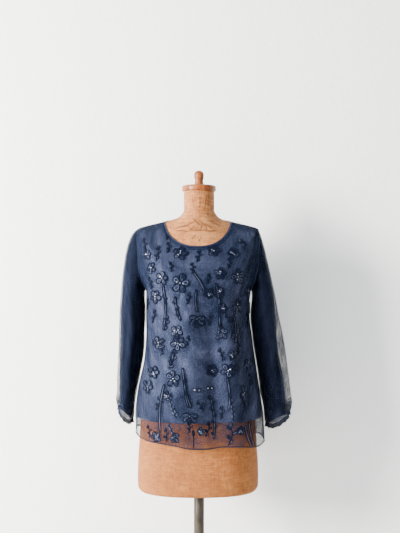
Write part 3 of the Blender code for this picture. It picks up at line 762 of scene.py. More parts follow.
# The lining swells at its side seams, up to its own share of the overlay's float
def liningFolds(row, angle):
    away = np.degrees(np.arcsin(np.abs(np.sin(angle)))) / overlaySizes["swellWidth"]
    swell = np.minimum(through(column["float"], row), overlaySizes["swell"]) * np.exp(-(away**2))
    return bodyFolds["liningShare"] * bodyFold(row, angle) + bodyCrease(row, angle) + swell


# Folds + creases + soft lumps that only rise
def overlayFolds(row, angle):
    lump = softNoise(np.degrees(angle) * 2.6, through(column["sideZ"], row),
                     overlaySizes["lumpLength"], overlaySizes["seed"])
    return bodyFold(row, angle) + bodyCrease(row, angle) + overlaySizes["lump"] * (1 + lump)


# Height of the overlay on the rings: two layers + the gap + the ring's float
def overlayBase(row):
    return 2 * overlaySizes["layer"] + overlaySizes["gap"] + through(column["float"], row)


# Hem line: straight runs between the places, averaged over a short reach
def hemHeight(angle, back):
    places, heights = zip(*hems["back" if back else "front"])
    near = np.linspace(-1, 1, 9) * hems["softness"]
    return np.mean([np.interp(np.cos(angle) + shift, places, heights) for shift in near], axis=0)


# Overlay point: the lifted ring point, moved off the other panel by half the seam's gap, with
# heights below the lining's hem stretched to the hem line
def overlayPoint(row, angle, lift, back):
    point = bodyLayer(row, angle, "cloth", lift)
    below = column["sideZ"][level["liningHem"]]
    lowest = column["sideZ"][level["overlayHem"]]
    share = np.clip((below - through(column["sideZ"], row)) / (below - lowest), 0, 1)
    point[..., 2] += share * (hemHeight(angle, back) - lowest)
    point[..., 1] += overlaySizes["halfSeam"] * (1 if back else -1)
    return point


panelGrids = {"columns": 124, "yokeRows": 22, "armholeRows": 44, "belowStep": 4.6,
              "armholeCut": math.radians(24), "easeTop": 10, "easeHem": 3, "easeSide": 9}


# Rows of a panel: its side edge leaves the side seam only in the armhole
def panelGrid(hem, back, fineness=1.0):
    turns = np.linspace(0, math.pi, int(panelGrids["armholeRows"] * fineness) + 1)
    tip, under = level["shoulderTip"], level["underarm"]
    yoke = np.linspace(level["neckline"], tip, int(panelGrids["yokeRows"] * fineness) + 1)[:-1]
    armhole = tip + (under - tip) * (1 - np.cos(turns)) / 2
    below = evenLevels(under, level[hem], panelGrids["belowStep"] / fineness)[1:]
    rows = np.concatenate((yoke, armhole, below))[:, None]
    edges = np.concatenate((np.zeros(len(yoke)), panelGrids["armholeCut"] * np.sin(turns),
                            np.zeros(len(below))))
    across = np.linspace(1, -1, int(panelGrids["columns"] * fineness) + 1)
    middle = (1.5 if back else 0.5) * math.pi
    return rows, middle - across[None, :] * (math.pi / 2 - edges[:, None])


# A grid eased by averaging with its neighbours down and across, but not near its edges, and not
# on the yoke, which lies on the form
def eased(grid, down, across, yoke):
    rows, columns = (np.arange(size) for size in grid.shape[:2])
    free = np.minimum((rows - yoke) / panelGrids["easeTop"], rows[::-1] / panelGrids["easeHem"])
    side = np.clip(np.minimum(columns, columns[::-1]) / panelGrids["easeSide"], 0, 1)
    free = np.clip(free, 0, 1)[:, None] * side ** 2
    for axis, passes in ((0, down), (1, across)):
        for _ in range(passes):
            soft = (np.roll(grid, 1, axis) + 2 * grid + np.roll(grid, -1, axis)) / 4
            grid = grid + (soft - grid) * free[..., None]
    return grid


# Denser cloth: 1 within a seam allowance of the sides, the neckline and the hem, fading from the
# gathered side seams inwards, partly for the gathers and partly as painted shade under the arms,
# with a little everywhere below the lining's hem
def seamDensityAndShade(grid):
    run, fall = runLength(grid, 1), runLength(grid, 0)
    side = np.minimum(run, run[:, -1:] - run)
    ends = np.minimum(fall, (fall[-1:] - fall) * overlaySizes["hemShare"])
    near = np.clip((overlaySizes["allowance"] - np.minimum(side, ends)) / 2 + 0.5, 0, 1)
    gatheredAndShaded = overlaySizes["gatherShade"] * (1 - side / overlaySizes["gatherShadeReach"])
    below = grid[..., 2] < column["sideZ"][level["liningHem"]]
    gatheredAndShaded[below] *= overlaySizes["gatherShadeBelow"]
    return np.maximum(near, gatheredAndShaded) + below * overlaySizes["hemShade"]


# Normals of an open grid, turned away from its upright middle line
def surfaceNormals(grid):
    normal = unit(np.cross(np.gradient(grid, axis=1), np.gradient(grid, axis=0)))
    return normal * np.sign((normal * (grid - grid.mean(axis=(0, 1)) * [1, 0, 1])).sum())


panelLayers = {
    "overlay": {"hem": "overlayHem", "fineness": 1, "down": 40, "across": 14, "look": sheer,
                "slot": "mesh", "folds": overlayFolds},
    "lining": {"hem": "liningHem", "fineness": 0.66, "down": 17, "across": 6, "look": liningCloth,
               "slot": "lining", "folds": liningFolds},
}


# One panel: the eased base + its normal x the folds, and the same less the wall for the inside
def makePanel(kind, side):
    layer, back, isOverlay = panelLayers[kind], side == "back", kind == "overlay"
    rows, angle = panelGrid(layer["hem"], back, layer["fineness"])
    lift = overlayBase(rows) if isOverlay else overlaySizes["layer"]
    base = eased(overlayPoint(rows, angle, lift, back), layer["down"], layer["across"],
                 panelGrids["yokeRows"] * layer["fineness"])
    outer = base + surfaceNormals(base) * layer["folds"](rows, angle)[..., None]
    normal = surfaceNormals(outer)
    inner = outer - normal * overlaySizes["wall"]
    piece = clothWall(kind + side.title(), outer, inner, layer["look"], False,
                      seamDensityAndShade(outer) if isOverlay else None)
    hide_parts(kind + "_" + side)
    if isOverlay:
        panelSurfaces[side] = (outer, normal)
        hemEdges[side] = (outer[-1] + inner[-1]) / 2


hemEdges, panelSurfaces = {}, {}
for side in ("front", "back"):
    for kind in panelLayers:
        makePanel(kind, side)
print("front and back made")


# Sleeves

sectionColumns = ("outerZ", "innerZ", "outerX", "innerX", "middleY", "halfDepth", "liningX",
                  "gather")
sleeves = {
    "left": {
        "side": -1,
        "spread": 0.8,  # how far the sleeve head runs out before it falls
        "sections": (
            (1180, 1180, 235, 162.5, 4, 62, 231, 0),
            (1120, 1120, 239.5, 163, 6, 62, 235, 0),
            (1060, 1060, 240.5, 163, 8, 61, 236, 0),
            (1000, 1000, 243.5, 168, 10, 61, 238, 0.5),
            (940, 938, 246.5, 180, 12, 64, 239, 1.5),
            (898, 886, 248, 189, 14, 66, 239.5, 2.5),
            (868, 840, 250.5, 194, 15, 66, 240, 3),
            (849, 811, 247.5, 196, 16, 62, 239, 3.5),
        ),
        # Creases: turn in degrees (90 is the front), place among the sections, reach in
        # sections, width in degrees, lift in mm, lean in degrees a section
        "creases": (
            (52, 1.2, 1.6, 11, 2.2, 6), (72, 2.2, 1.5, 9, -1.8, -5), (96, 1, 1.4, 11, 1.8, 7),
            (116, 2.6, 1.5, 10, -1.7, -8), (64, 4.4, 1.6, 9, 1.9, -7), (88, 5.2, 1.4, 8, -1.6, 6),
            (108, 4.2, 1.3, 9, 1.8, 9), (34, 3.4, 1.4, 10, -1.5, 5), (140, 5, 1.2, 10, 1.4, -6),
            (236, 1.6, 1.6, 11, 2, 6), (262, 3, 1.5, 10, -1.7, -6), (286, 1.8, 1.4, 11, 1.8, 7),
            (304, 4.6, 1.5, 9, 1.8, -6), (250, 5, 1.3, 9, 1.7, 7), (218, 4, 1.4, 10, -1.5, -5),
            (180, 0.9, 0.7, 30, 1.6, 0), (180, 3.6, 1.1, 30, 1.3, 0),
        ),
    },
    "right": {
        "side": 1,
        "spread": 0.25,
        "sections": (
            (1180, 1180, 229, 159.5, 4, 60, 225, 0),
            (1120, 1120, 240, 157, 6, 60, 230, 0),
            (1060, 1060, 252.5, 163, 8, 60, 233, 0),
            (1000, 1000, 262.5, 171, 10, 61, 240, 0.5),
            (940, 938, 270, 180.5, 12, 63, 253, 1.5),
            (895, 886, 276.5, 187, 14, 66, 259, 2.5),
            (858, 838, 281, 194.5, 15, 67, 263, 3),
            (834, 799, 277.5, 198, 16, 64, 262, 3.5),
        ),
        "creases": (
            (48, 1.6, 1.6, 11, 2, -5), (66, 3, 1.5, 9, -1.8, 5), (90, 1.2, 1.5, 11, 1.8, -6),
            (112, 2.4, 1.5, 10, -1.6, 7), (58, 4.6, 1.6, 9, 1.9, 6), (84, 5, 1.4, 8, -1.6, -6),
            (104, 4.4, 1.3, 9, 1.7, -8), (30, 3.2, 1.4, 10, -1.5, -4), (134, 5.2, 1.2, 10, 1.4, 6),
            (240, 1.4, 1.6, 11, 1.9, -6), (258, 3.2, 1.5, 10, -1.7, 6), (282, 2, 1.4, 11, 1.8, -7),
            (300, 4.4, 1.5, 9, 1.8, 6), (246, 5.2, 1.3, 9, 1.7, -7), (222, 3.8, 1.4, 10, -1.5, 5),
            (180, 1.9, 1.5, 34, 2, 0), (180, 4.2, 1.2, 30, 1.2, 0),
        ),
    },
}
sleeveSizes = {
    "around": 112, "headRows": 36, "bodyRows": 124, "wall": 0.5, "layer": 1.0, "joinGap": 0.35,
    "slant": 1.5, "headDrop": 0.06, "headDeepen": 0.7, "gathers": 8, "fineGathers": 26,
    "fineGather": 1.1, "smoothing": 14, "liningAround": 72, "liningRows": 78, "liningHead": 24,
    "liningInset": 2.0, "liningEndInset": 3.2, "liningEase": 1.75, "liningStart": 0.5,
    "liningShorter": 10, "lump": 0.5, "lumpLength": 60, "seamRadius": 52, "creaseShare": 1.4,
    "gatherFrom": 5.6, "gatherReach": 0.9, "gatherShade": 0.7, "gatherShadeReach": 34, "last": 7,
    "fineFrom": 4.5, "fineReach": 2.5, "liningGap": 0.4, "rest": 0.5, "liningCrease": 0.9,
    "perPlace": 62, "seed": 9, "creaseFrom": -2, "creaseReach": 1.6, "creaseEnd": 7.2,
    "creaseFade": 0.8,
}


# Normals of a tube of points, pointing out of it
def tubeNormals(grid):
    turn = np.roll(grid, -1, axis=1) - np.roll(grid, 1, axis=1)
    normal = unit(np.cross(turn, np.gradient(grid, axis=0)))
    return normal * np.sign((normal * (grid - grid.mean(axis=1, keepdims=True))).sum())


# Section: an ellipse whose end rises to the outer side by a power, less the gathers' waves
def sleeveSection(sleeve, place, turns, isLining):
    table = np.array(sleeve["sections"], float)
    value = {name: through(table[:, i], place) for i, name in enumerate(sectionColumns)}
    out, back, depth = value["outerX"], value["innerX"], value["halfDepth"]
    gather = value["gather"] * (1 - np.cos(sleeveSizes["gathers"] * turns)) / 2
    share = np.clip((place - sleeveSizes["fineFrom"]) / sleeveSizes["fineReach"], 0, 1) ** 2
    gather = gather + sleeveSizes["fineGather"] * share * np.sin(
        sleeveSizes["fineGathers"] * turns + 1.5 * np.sin(3 * turns)) ** 2
    if isLining:
        inset = (sleeveSizes["liningInset"]
                 + sleeveSizes["liningEndInset"] * (place / sleeveSizes["last"]) ** 2)
        narrower = (value["liningX"] - back - inset) / (out - back)
        out, back = value["liningX"], back + inset
        depth = depth * narrower**0.5 - inset
        gather = 0
    half = sleeveSizes["layer"]
    c, s = np.cos(turns), np.sin(turns)
    x = sleeve["side"] * ((out + back) / 2 + ((out - back - half) / 2 - gather) * c)
    y = value["middleY"] - (depth - half / 2 - gather) * s
    rise = ((1 + c) / 2) ** sleeveSizes["slant"]
    return np.stack(np.broadcast_arrays(x, y, value["innerZ"]
                                        + (value["outerZ"] - value["innerZ"]) * rise), -1)


# The armhole's ring on the overlay, moved out past the seam gap
def sleeveStart(sleeve, turns):
    tip, under = level["shoulderTip"], level["underarm"]
    rows = tip + (under - tip) * (1 - np.cos(turns)) / 2
    angle = panelGrids["armholeCut"] * np.sin(turns)
    if sleeve["side"] < 0:
        angle = math.pi - angle
    middle = (overlayBase(rows) + overlayFolds(rows, angle % (2 * math.pi))
              - sleeveSizes["layer"] / 2)
    points = bodyLayer(rows, angle % (2 * math.pi), "cloth", middle)
    normal = bodyNormal(rows, angle % (2 * math.pi), "cloth")
    half = sleeveSizes["layer"] / 2
    out = sleeveSizes["joinGap"] + half * (np.abs(normal[:, 0]) + (1 - np.cos(turns)) / 2)
    points[:, 0] += sleeve["side"] * out
    return points


# Head: (1-t)^2 armhole + 2t(1-t) bend + t^2 first section, then the sections down to the end.
# The head counts as two places above the first section
def sleeveGrid(sleeve, around, headRows, bodyRows, isLining=False):
    turns = circle(around)
    start = sleeveStart(sleeve, turns)
    end = sleeveSection(sleeve, 0, turns, False)
    bend = start.copy()
    bend[:, 0] += sleeve["spread"] * (end[:, 0] - start[:, 0])
    bend[:, 1] += sleeveSizes["headDeepen"] * (end[:, 1] - start[:, 1])
    bend[:, 2] += sleeveSizes["headDrop"] * (end[:, 2] - start[:, 2])
    t = np.linspace(0, 1, headRows + 1)[:-1, None, None]
    head = (1 - t) ** 2 * start + 2 * t * (1 - t) * bend + t * t * end
    places = np.linspace(0, sleeveSizes["last"], bodyRows + 1)[:, None]
    down = sleeveSection(sleeve, places, turns[None, :], isLining)
    if isLining:
        inset = sleeveSizes["layer"] + sleeveSizes["liningGap"] + sleeveSizes["liningEase"] * t
        head = head - tubeNormals(np.concatenate((head, end[None])))[:-1] * inset
        head[0] += (head[1] - head[0]) * sleeveSizes["liningStart"]
        lowest = np.clip(places - sleeveSizes["last"] + 1, 0, 1)
        down[..., 2] += sleeveSizes["liningShorter"] * lowest
    grid = np.concatenate((head, down))
    for _ in range(sleeveSizes["smoothing"]):
        grid[1:-1] = (grid[:-2] + 2 * grid[1:-1] + grid[2:]) / 4
    return grid, turns, np.concatenate((5 * (t[:, :, 0] - 1) / 2.5, places))


# The same kind of crease as on the body, over the turn and the place along the sleeve
def sleeveCrease(sleeve, turns, places):
    total = np.zeros((len(places), len(turns)))
    for turn, middle, reach, width, lift, lean in sleeve["creases"]:
        across = angleAway(turns[None, :], turn + lean * (places - middle)) / width
        total = total + lift * np.exp(-(across**2)) * np.exp(-(((places - middle) / reach) ** 4))
    return total * sleeveSizes["creaseShare"]


# Share of the creases: none on the sleeve head, all of it lower down
def creasedFrom(places):
    return np.clip((places - sleeveSizes["creaseFrom"]) / sleeveSizes["creaseReach"], 0, 1)


# Sleeve: the grid + its normal x the creases, lumps too on the sheer layer, fading at the ends
def makeSleeve(name, sleeve):
    grid, turns, places = sleeveGrid(sleeve, sleeveSizes["around"], sleeveSizes["headRows"],
                                     sleeveSizes["bodyRows"])
    normal = tubeNormals(grid)
    ending = np.clip((sleeveSizes["creaseEnd"] - places) / sleeveSizes["creaseFade"], 0, 1)
    lump = softNoise(np.degrees(turns)[None, :] * 1.2, places * sleeveSizes["perPlace"],
                     sleeveSizes["lumpLength"], sleeveSizes["seed"])
    lift = (sleeveCrease(sleeve, turns, places)
            + sleeveSizes["lump"] * lump) * (creasedFrom(places) * ending)
    outer = grid + normal * (lift + sleeveSizes["rest"])[..., None]
    # Denser net at the inner seam: its doubled allowance, and a fade from it that is partly gathers
    # and partly painted shade between sleeve and body; denser too in the gathered end
    away = np.abs(turns - math.pi)[None, :] * sleeveSizes["seamRadius"]
    seamGatherShade = np.maximum(np.clip((overlaySizes["allowance"] - away) / 2 + 0.5, 0, 1),
                      sleeveSizes["gatherShade"] * (1 - away / sleeveSizes["gatherShadeReach"]))
    gathered = np.clip((places - sleeveSizes["gatherFrom"]) / sleeveSizes["gatherReach"], 0, 1)
    piece = clothWall("sleeve" + name.title(), outer, outer - normal * sleeveSizes["wall"],
                      sleeveSheer, True, seamGatherShade + gathered)
    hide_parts("sleeve_" + name)
    sleeveTops[name] = outer[0]


# Its lining: the narrower grid + its normal x most of the same creases
def makeSleeveLining(name, sleeve):
    grid, turns, places = sleeveGrid(sleeve, sleeveSizes["liningAround"],
                                     sleeveSizes["liningHead"], sleeveSizes["liningRows"], True)
    normal = tubeNormals(grid)
    lift = sleeveCrease(sleeve, turns, places) * sleeveSizes["liningCrease"]
    outer = grid + normal * (lift * creasedFrom(places))[..., None]
    piece = clothWall("sleeveLining" + name.title(), outer, outer - normal * sleeveSizes["wall"],
                      sleeveLiningCloth, True)
    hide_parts("sleeve_lining_" + name)


sleeveTops = {}
for name, sleeve in sleeves.items():
    makeSleeve(name, sleeve)
    makeSleeveLining(name, sleeve)
print("sleeves made")


# Cords: seams, rolled edges, ruffles and the neck binding

# Tubes round paths: centre + across cos + up sin, with "up" given, for many paths in one mesh
def cordMesh(name, paths, radius, look, sides=6, flat=0.8):
    ring, fan, zero = circle(sides)[:, None], np.arange(1, sides - 1), np.zeros(sides - 2, int)
    points, quads, maps, triangles, start = [], [], [], [], 0
    for path, up, closed in paths:
        tangent = (np.roll(path, -1, axis=0) - np.roll(path, 1, axis=0) if closed
                   else np.gradient(path, axis=0))
        across = unit(np.cross(tangent, up), 1e-9)
        top = unit(np.cross(across, tangent), 1e-9)
        tube = path[:, None] + radius * (across[:, None] * np.cos(ring)
                                         + flat * top[:, None] * np.sin(ring))
        size, run = len(path) * sides, np.concatenate((tube, tube[:1])) if closed else tube
        face, place = gridQuads(len(run), sides, True)
        u, v = np.meshgrid(np.arange(sides + 1) / sides, runLength(run[:, 0], 0) * mm)
        maps.append(np.stack((u, v), -1).reshape(-1, 2)[place])
        quads.append(face % size + start)
        points.append(tube.reshape(-1, 3))
        if not closed:
            triangles += [np.stack((zero, fan + 1, fan), -1) + start,
                          np.stack((zero, fan, fan + 1), -1) + size - sides + start]
        start += size
    piece = buildMesh(name, np.concatenate(points), np.concatenate(quads), np.concatenate(maps),
                      look, np.concatenate(triangles) if triangles else None)


edgeSizes = {"hemRadius": 1.25, "seamRadius": 0.8}


# Level directions away from a path's middle
def outward(path):
    return unit((path - path.mean(axis=0)) * (1, 1, 0))


for side, path in hemEdges.items():
    cordMesh("hemRoll" + side.title(), [(path, outward(path), False)], edgeSizes["hemRadius"],
             darkTrim, 8, 1.0)
for name, path in sleeveTops.items():
    cordMesh("armholeSeam" + name.title(), [(path, outward(path), True)],
             edgeSizes["seamRadius"], bindingCloth, 6, 1.0)

ruffle = {"columns": 288, "rows": 9, "waves": 12, "height": 15.0, "topWave": 0.6, "hemWave": 3.2,
          "inset": 2.5, "gap": 0.6, "wall": 0.5, "scallops": 24, "scallop": 2.6, "edge": 0.75,
          "unevenWave": 0.5, "unevenScallop": 0.4}


# Ruffle: the sleeve's end ring less an inset, waving more towards its scalloped lower edge
def makeRuffles():
    for name, sleeve in sleeves.items():
        turns = circle(ruffle["columns"])
        end = sleeveSection(sleeve, sleeveSizes["last"], turns, False)
        out = outward(end)
        share = np.linspace(0, 1, ruffle["rows"])[:, None]
        wave = ruffle["topWave"] + (ruffle["hemWave"] - ruffle["topWave"]) * share
        swing = np.cos(ruffle["waves"] * turns + ruffle["unevenWave"] * np.sin(5 * turns) * share)
        grid = end[None] + out[None] * (wave * swing - ruffle["inset"])[..., None]
        lower = np.abs(np.cos(ruffle["scallops"] / 2 * turns
                              + ruffle["unevenScallop"] * np.sin(3 * turns)))
        drop = share * (ruffle["height"] - ruffle["scallop"] * (1 - lower) * share)
        grid[..., 2] = end[:, 2] - ruffle["gap"] - drop
        normal = tubeNormals(grid)
        half = normal * ruffle["wall"] / 2
        piece = clothWall("cuffRuffle" + name.title(), grid + half, grid - half, ruffleCloth, True)
        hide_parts("cuff_ruffle_" + name)
        path = grid[-1]
        cordMesh("ruffleEdge" + name.title(), [(path, normal[-1], True)], ruffle["edge"],
                 darkCord, 6, 1.0)


makeRuffles()

binding = {"columns": 240, "base": 0.35, "height": 4.0, "inner": 0.15, "outer": 2.7}
# Outline of the folded strip: share of its height, share of its depth
bindingProfile = ((0, 0.0), (0, 0.5), (0, 1.0), (0.3, 1.04), (0.6, 1.0), (0.85, 0.9), (1.0, 0.65),
                  (1.0, 0.4), (0.8, 0.14), (0.5, 0.03), (0.25, 0.0))


# Binding: a folded strip's outline carried round the neck edge, climb x height + normal x depth
def makeBinding():
    angle, neckline = circle(binding["columns"]), level["neckline"]
    edge = bodySurface(neckline, angle, "cloth")
    climb = unit(bodySurface(neckline - 0.05, angle, "cloth") - edge)
    normal = bodyNormal(neckline, angle, "cloth")
    high, deep = np.array(bindingProfile, float).T[..., None]
    rise = binding["base"] + binding["height"] * high
    lift = binding["inner"] + (binding["outer"] - binding["inner"]) * deep
    piece = ringPiece("neckBinding", edge[:, None] + climb[:, None] * rise
                      + normal[:, None] * lift, bindingCloth)
    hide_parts("neck_binding")


makeBinding()
print("edges, ruffles and binding made")


# Embroidery: a motif is strokes, pads and sequins in its own millimetres, x right and y up

thread = {"dark": 1.5, "glint": 0.75, "double": 2.7, "grow": 1.36, "padHeight": 0.9, "sequin": 1.7,
          "sequinHeight": 0.45, "bend": 0.05, "sunk": 0.6, "padLift": 0.1, "sequinLift": 1.3,
          "motifTilt": 0.12, "sequinTilt": 0.22, "seeds": {"front": 31, "back": 47}}


def rotated(points, turn):
    c, s = math.cos(turn), math.sin(turn)
    return np.asarray(points, float) @ np.array(((c, s), (-s, c)))


# Petal loop: out = start + length (1 - cos t) / 2, side = width / 2 sin t, fuller at the tip
def petalPath(turn, start, length, width, count=15):
    t = circle(count)
    far = (1 - np.cos(t)) / 2
    return rotated(np.stack((start + length * far, width / 2 * np.sin(t) * (0.6 + 0.5 * far)), -1),
                   turn)


# Ring: centre + radius x (cos t, sin t)
def ringPath(x, y, radius, count=9):
    t = circle(count)
    return np.stack((x + radius * np.cos(t), y + radius * np.sin(t)), -1)


def newMotif():
    return {"dark": [], "glint": [], "pads": [], "sequins": []}


# A petal's dark outline, with a pale cord inside it that paints a glint and a padded middle where
# asked for
def addPetal(motif, turn, start, length, width, glint, pad=True, at=(0, 0)):
    at = np.array(at, float)
    motif["dark"].append((petalPath(turn, start, length, width) + at, True))
    if glint:
        inner = petalPath(turn + 0.1, start + length * 0.16, length * 0.66, width * 0.56, 12)
        motif["glint"].append((inner + at, True))
    if pad:
        middle = rotated([(start + length * 0.55, 0)], turn)[0] + at
        motif["pads"].append((*middle, length * 0.36, width * 0.30, turn))


# Flower: petals evenly round, each turned and sized a little off, a ring and three sequins
def flower(pick, size, petals=5, at=(0, 0)):
    motif, size = newMotif(), size * thread["grow"]
    first = pick.uniform(0, 2 * math.pi)
    for k in range(petals):
        turn = first + 2 * math.pi * k / petals + pick.normal(0, 0.10)
        addPetal(motif, turn, size * 0.07, size * pick.uniform(0.38, 0.47),
                 size * pick.uniform(0.34, 0.42), pick.random() < 0.5, at=at)
    motif["dark"].append((ringPath(*at, size * 0.085), True))
    motif["sequins"].append(at)
    for turn in pick.uniform(0, 2 * math.pi, 2):
        motif["sequins"].append(tuple(rotated([(size * 0.17, 0)], turn)[0] + np.array(at)))
    return motif


# Sprig: a few small loops along a bent stalk
def sprig(pick, size):
    motif, size = newMotif(), size * thread["grow"]
    t = np.linspace(-0.5, 0.5, 9)
    sway = size * 0.16 * np.sin(3.2 * t + pick.uniform(0, 2))
    motif["dark"].append((np.stack((sway, t * size), -1), False))
    for k, place in enumerate((1, 3, 5, 7)):
        turn = math.pi / 2 + (1 if k % 2 else -1) * pick.uniform(0.6, 1.1)
        addPetal(motif, turn, 0.5, size * 0.26, size * 0.16, k % 2 == 0, k % 2 == 1,
                 (sway[place], t[place] * size))
    addPetal(motif, math.pi / 2, 0.3, size * 0.22, size * 0.2, True, True, (sway[-1], size / 2))
    return motif


# Bell: a wide fan of petals under a short cap, with a dark heart
def bell(pick, size):
    motif, top = newMotif(), (0, size * 0.16)
    for turn, length, glint in ((-3.0, 0.44, True), (-2.3, 0.58, True), (-1.57, 0.60, False),
                               (-0.84, 0.58, True), (-0.14, 0.44, True)):
        addPetal(motif, turn, size * 0.06, size * length, size * 0.29, glint, True, top)
    for turn in (-1, 1):
        motif["dark"].append((np.array([(0, 0.16), (turn * 0.2, 0.27), (turn * 0.4, 0.25),
                                        (turn * 0.52, 0.16)]) * size, False))
    motif["dark"].append((petalPath(-1.57, 0.0, size * 0.24, size * 0.16) + top, True))
    motif["sequins"] += [(0, size * 0.08), (size * 0.24, size * 0.04), (-size * 0.24, size * 0.04)]
    return motif


# Bud: one slim petal with a vein, a second pad and a short stalk
def bud(pick, size):
    motif = newMotif()
    addPetal(motif, math.pi / 2, size * 0.02, size * 0.62, size * 0.26, False)
    motif["dark"].append((np.array([(0, 0), (-0.4, -size * 0.5), (-1.5, -size * 1.1)]), False))
    vein = np.array([(0.3, size * 0.04), (0.2, size * 0.3), (0, size * 0.6)])
    motif["dark"].append((vein, False))
    motif["pads"].append((0, size * 0.33, size * 0.28, size * 0.10, math.pi / 2))
    return motif


# Dots: two sequins, each in a pale ring that paints a glint and a dark one
def dots(pick, size):
    motif = newMotif()
    motif["sequins"] += [(-size / 2, 0), (size / 2, 0)]
    for x in (-size / 2, size / 2):
        motif["glint"].append((ringPath(x, 0, size * 0.22), True))
        motif["dark"].append((ringPath(x, 0, size * 0.36, 11), True))
    return motif


# Middle line of a stalk that runs between two places of the cloth, bent a little to one side
def stalkLine(length, way, count):
    t = np.linspace(0, 1, count)
    return np.stack((way * thread["bend"] * length * np.sin(math.pi * t), t * length), -1)


# Stem: two dark lines that meet at the ends, with a pale cord between them that paints a glint
def stem(pick, length):
    motif = newMotif()
    middle = stalkLine(length, pick.choice((-1, 1)), max(4, int(length / 4)))
    for side in (-1, 1):
        line = middle + (side * thread["double"], 0)
        line[0, 0] = line[-1, 0] = middle[0, 0]
        motif["dark"].append((line, False))
    motif["glint"].append((middle[1:-1], False))
    return motif


# The same with small leaves at every fourth point, to the left and right by turns
def leafStem(pick, length):
    motif = stem(pick, length)
    middle = motif["glint"][0][0]
    for k in range(2, len(middle) - 1, 4):
        turn = math.pi / 2 + (1 if k % 8 < 4 else -1) * pick.uniform(0.5, 0.9)
        addPetal(motif, turn, 1.0, pick.uniform(9, 13), pick.uniform(4.5, 6), k % 3 == 0,
                 at=middle[k])
    return motif


# Spray: slanting short stitches in pairs along a dark line, as on an ear of grass, most of them
# pale cords that paint glints
def spray(pick, length):
    motif = newMotif()
    middle = stalkLine(length, pick.choice((-1, 1)), max(5, int(length / 4)))
    motif["dark"].append((middle, False))
    for k in range(1, len(middle)):
        for side in (-1, 1):
            reach = pick.uniform(5.5, 8.5)
            tip = middle[k] + (side * reach * 0.62, reach * 0.78)
            motif["glint" if (k + side) % 3 else "dark"].append(
                (np.array((middle[k], (middle[k] + tip) / 2 + (side * 0.5, -0.4), tip)), False))
    return motif


# Kind, x and z of its middle, size; stalks have the x and z of both ends instead
frontMotifs = (
    (sprig, -160, 1322, 30), (sprig, -120, 1300, 34), (sprig, -92, 1318, 30),
    (flower, -54, 1304, 33), (flower, 43, 1311, 30), (flower, 98, 1304, 33),
    (sprig, 131, 1322, 26), (sprig, -3, 1293, 22), (flower, -106, 1233, 30),
    (stem, -102, 1084, -104, 1214), (flower, -54, 1219, 40), (stem, 15, 1195, -17, 1250),
    (flower, 27, 1189, 22), (stem, -6, 1136, -8, 1200), (bell, -6, 1114, 46),
    (flower, 60, 1245, 27), (flower, 112, 1236, 34), (flower, -126, 1179, 30),
    (leafStem, -52, 1112, -69, 1180), (stem, 53, 1056, 48, 1219), (flower, 55, 1192, 25),
    (stem, 66, 1072, 58, 1180), (flower, 66, 1147, 22), (flower, 67, 1076, 24),
    (flower, 112, 1150, 32), (sprig, -94, 1099, 26), (flower, -64, 1080, 28),
    (flower, -60, 1047, 32), (flower, -117, 1047, 28), (sprig, -110, 1027, 26),
    (flower, 106, 1070, 32), (sprig, 112, 1030, 26), (sprig, -78, 996, 34),
    (flower, -131, 962, 26), (flower, -74, 947, 34), (flower, 37, 970, 27), (flower, 83, 970, 31),
    (flower, -148, 919, 28), (stem, -22, 866, -46, 978), (stem, -30, 866, -40, 950),
    (bell, -26, 840, 42), (dots, -6, 916, 13), (dots, 31, 920, 12), (spray, -64, 838, -84, 905),
    (spray, 98, 828, 85, 902), (flower, 129, 904, 34), (stem, -110, 794, -99, 930),
    (leafStem, 42, 776, 31, 900), (flower, -122, 779, 24), (spray, -64, 768, -84, 815),
    (flower, -68, 782, 22), (bud, -15, 786, 28), (sprig, 23, 801, 26), (sprig, 86, 784, 40),
    (stem, 158, 752, 144, 822), (stem, 150, 752, 132, 815), (sprig, 130, 862, 26),
    (flower, -138, 1262, 24), (sprig, -142, 1214, 24), (sprig, -96, 1350, 22),
    (sprig, 84, 1272, 22), (sprig, 146, 1262, 24), (flower, 142, 1192, 26), (sprig, 84, 1108, 24),
    (sprig, 140, 1104, 26), (sprig, -132, 1118, 24), (leafStem, -84, 985, -72, 1030),
    (sprig, 62, 1012, 22), (flower, 141, 984, 26), (sprig, -118, 872, 26), (sprig, 4, 866, 22),
    (sprig, 62, 846, 24), (flower, -92, 898, 20), (sprig, -22, 1258, 22), (sprig, -32, 1172, 20),
    (sprig, -150, 1152, 20), (sprig, 24, 1228, 18), (flower, -150, 1300, 22),
    (sprig, -82, 1262, 18), (flower, 120, 1340, 22), (sprig, 30, 1110, 20),
    (sprig, 150, 1140, 20), (flower, 96, 1014, 22), (sprig, -34, 1052, 18), (sprig, 148, 936, 22),
    (flower, 6, 800, 18), (sprig, -92, 786, 22), (flower, 118, 800, 20), (sprig, -144, 790, 22),
    (sprig, -30, 808, 20), (leafStem, 104, 1060, 98, 1130), (sprig, -100, 1168, 18),
    (stem, 84, 858, 80, 950),
)
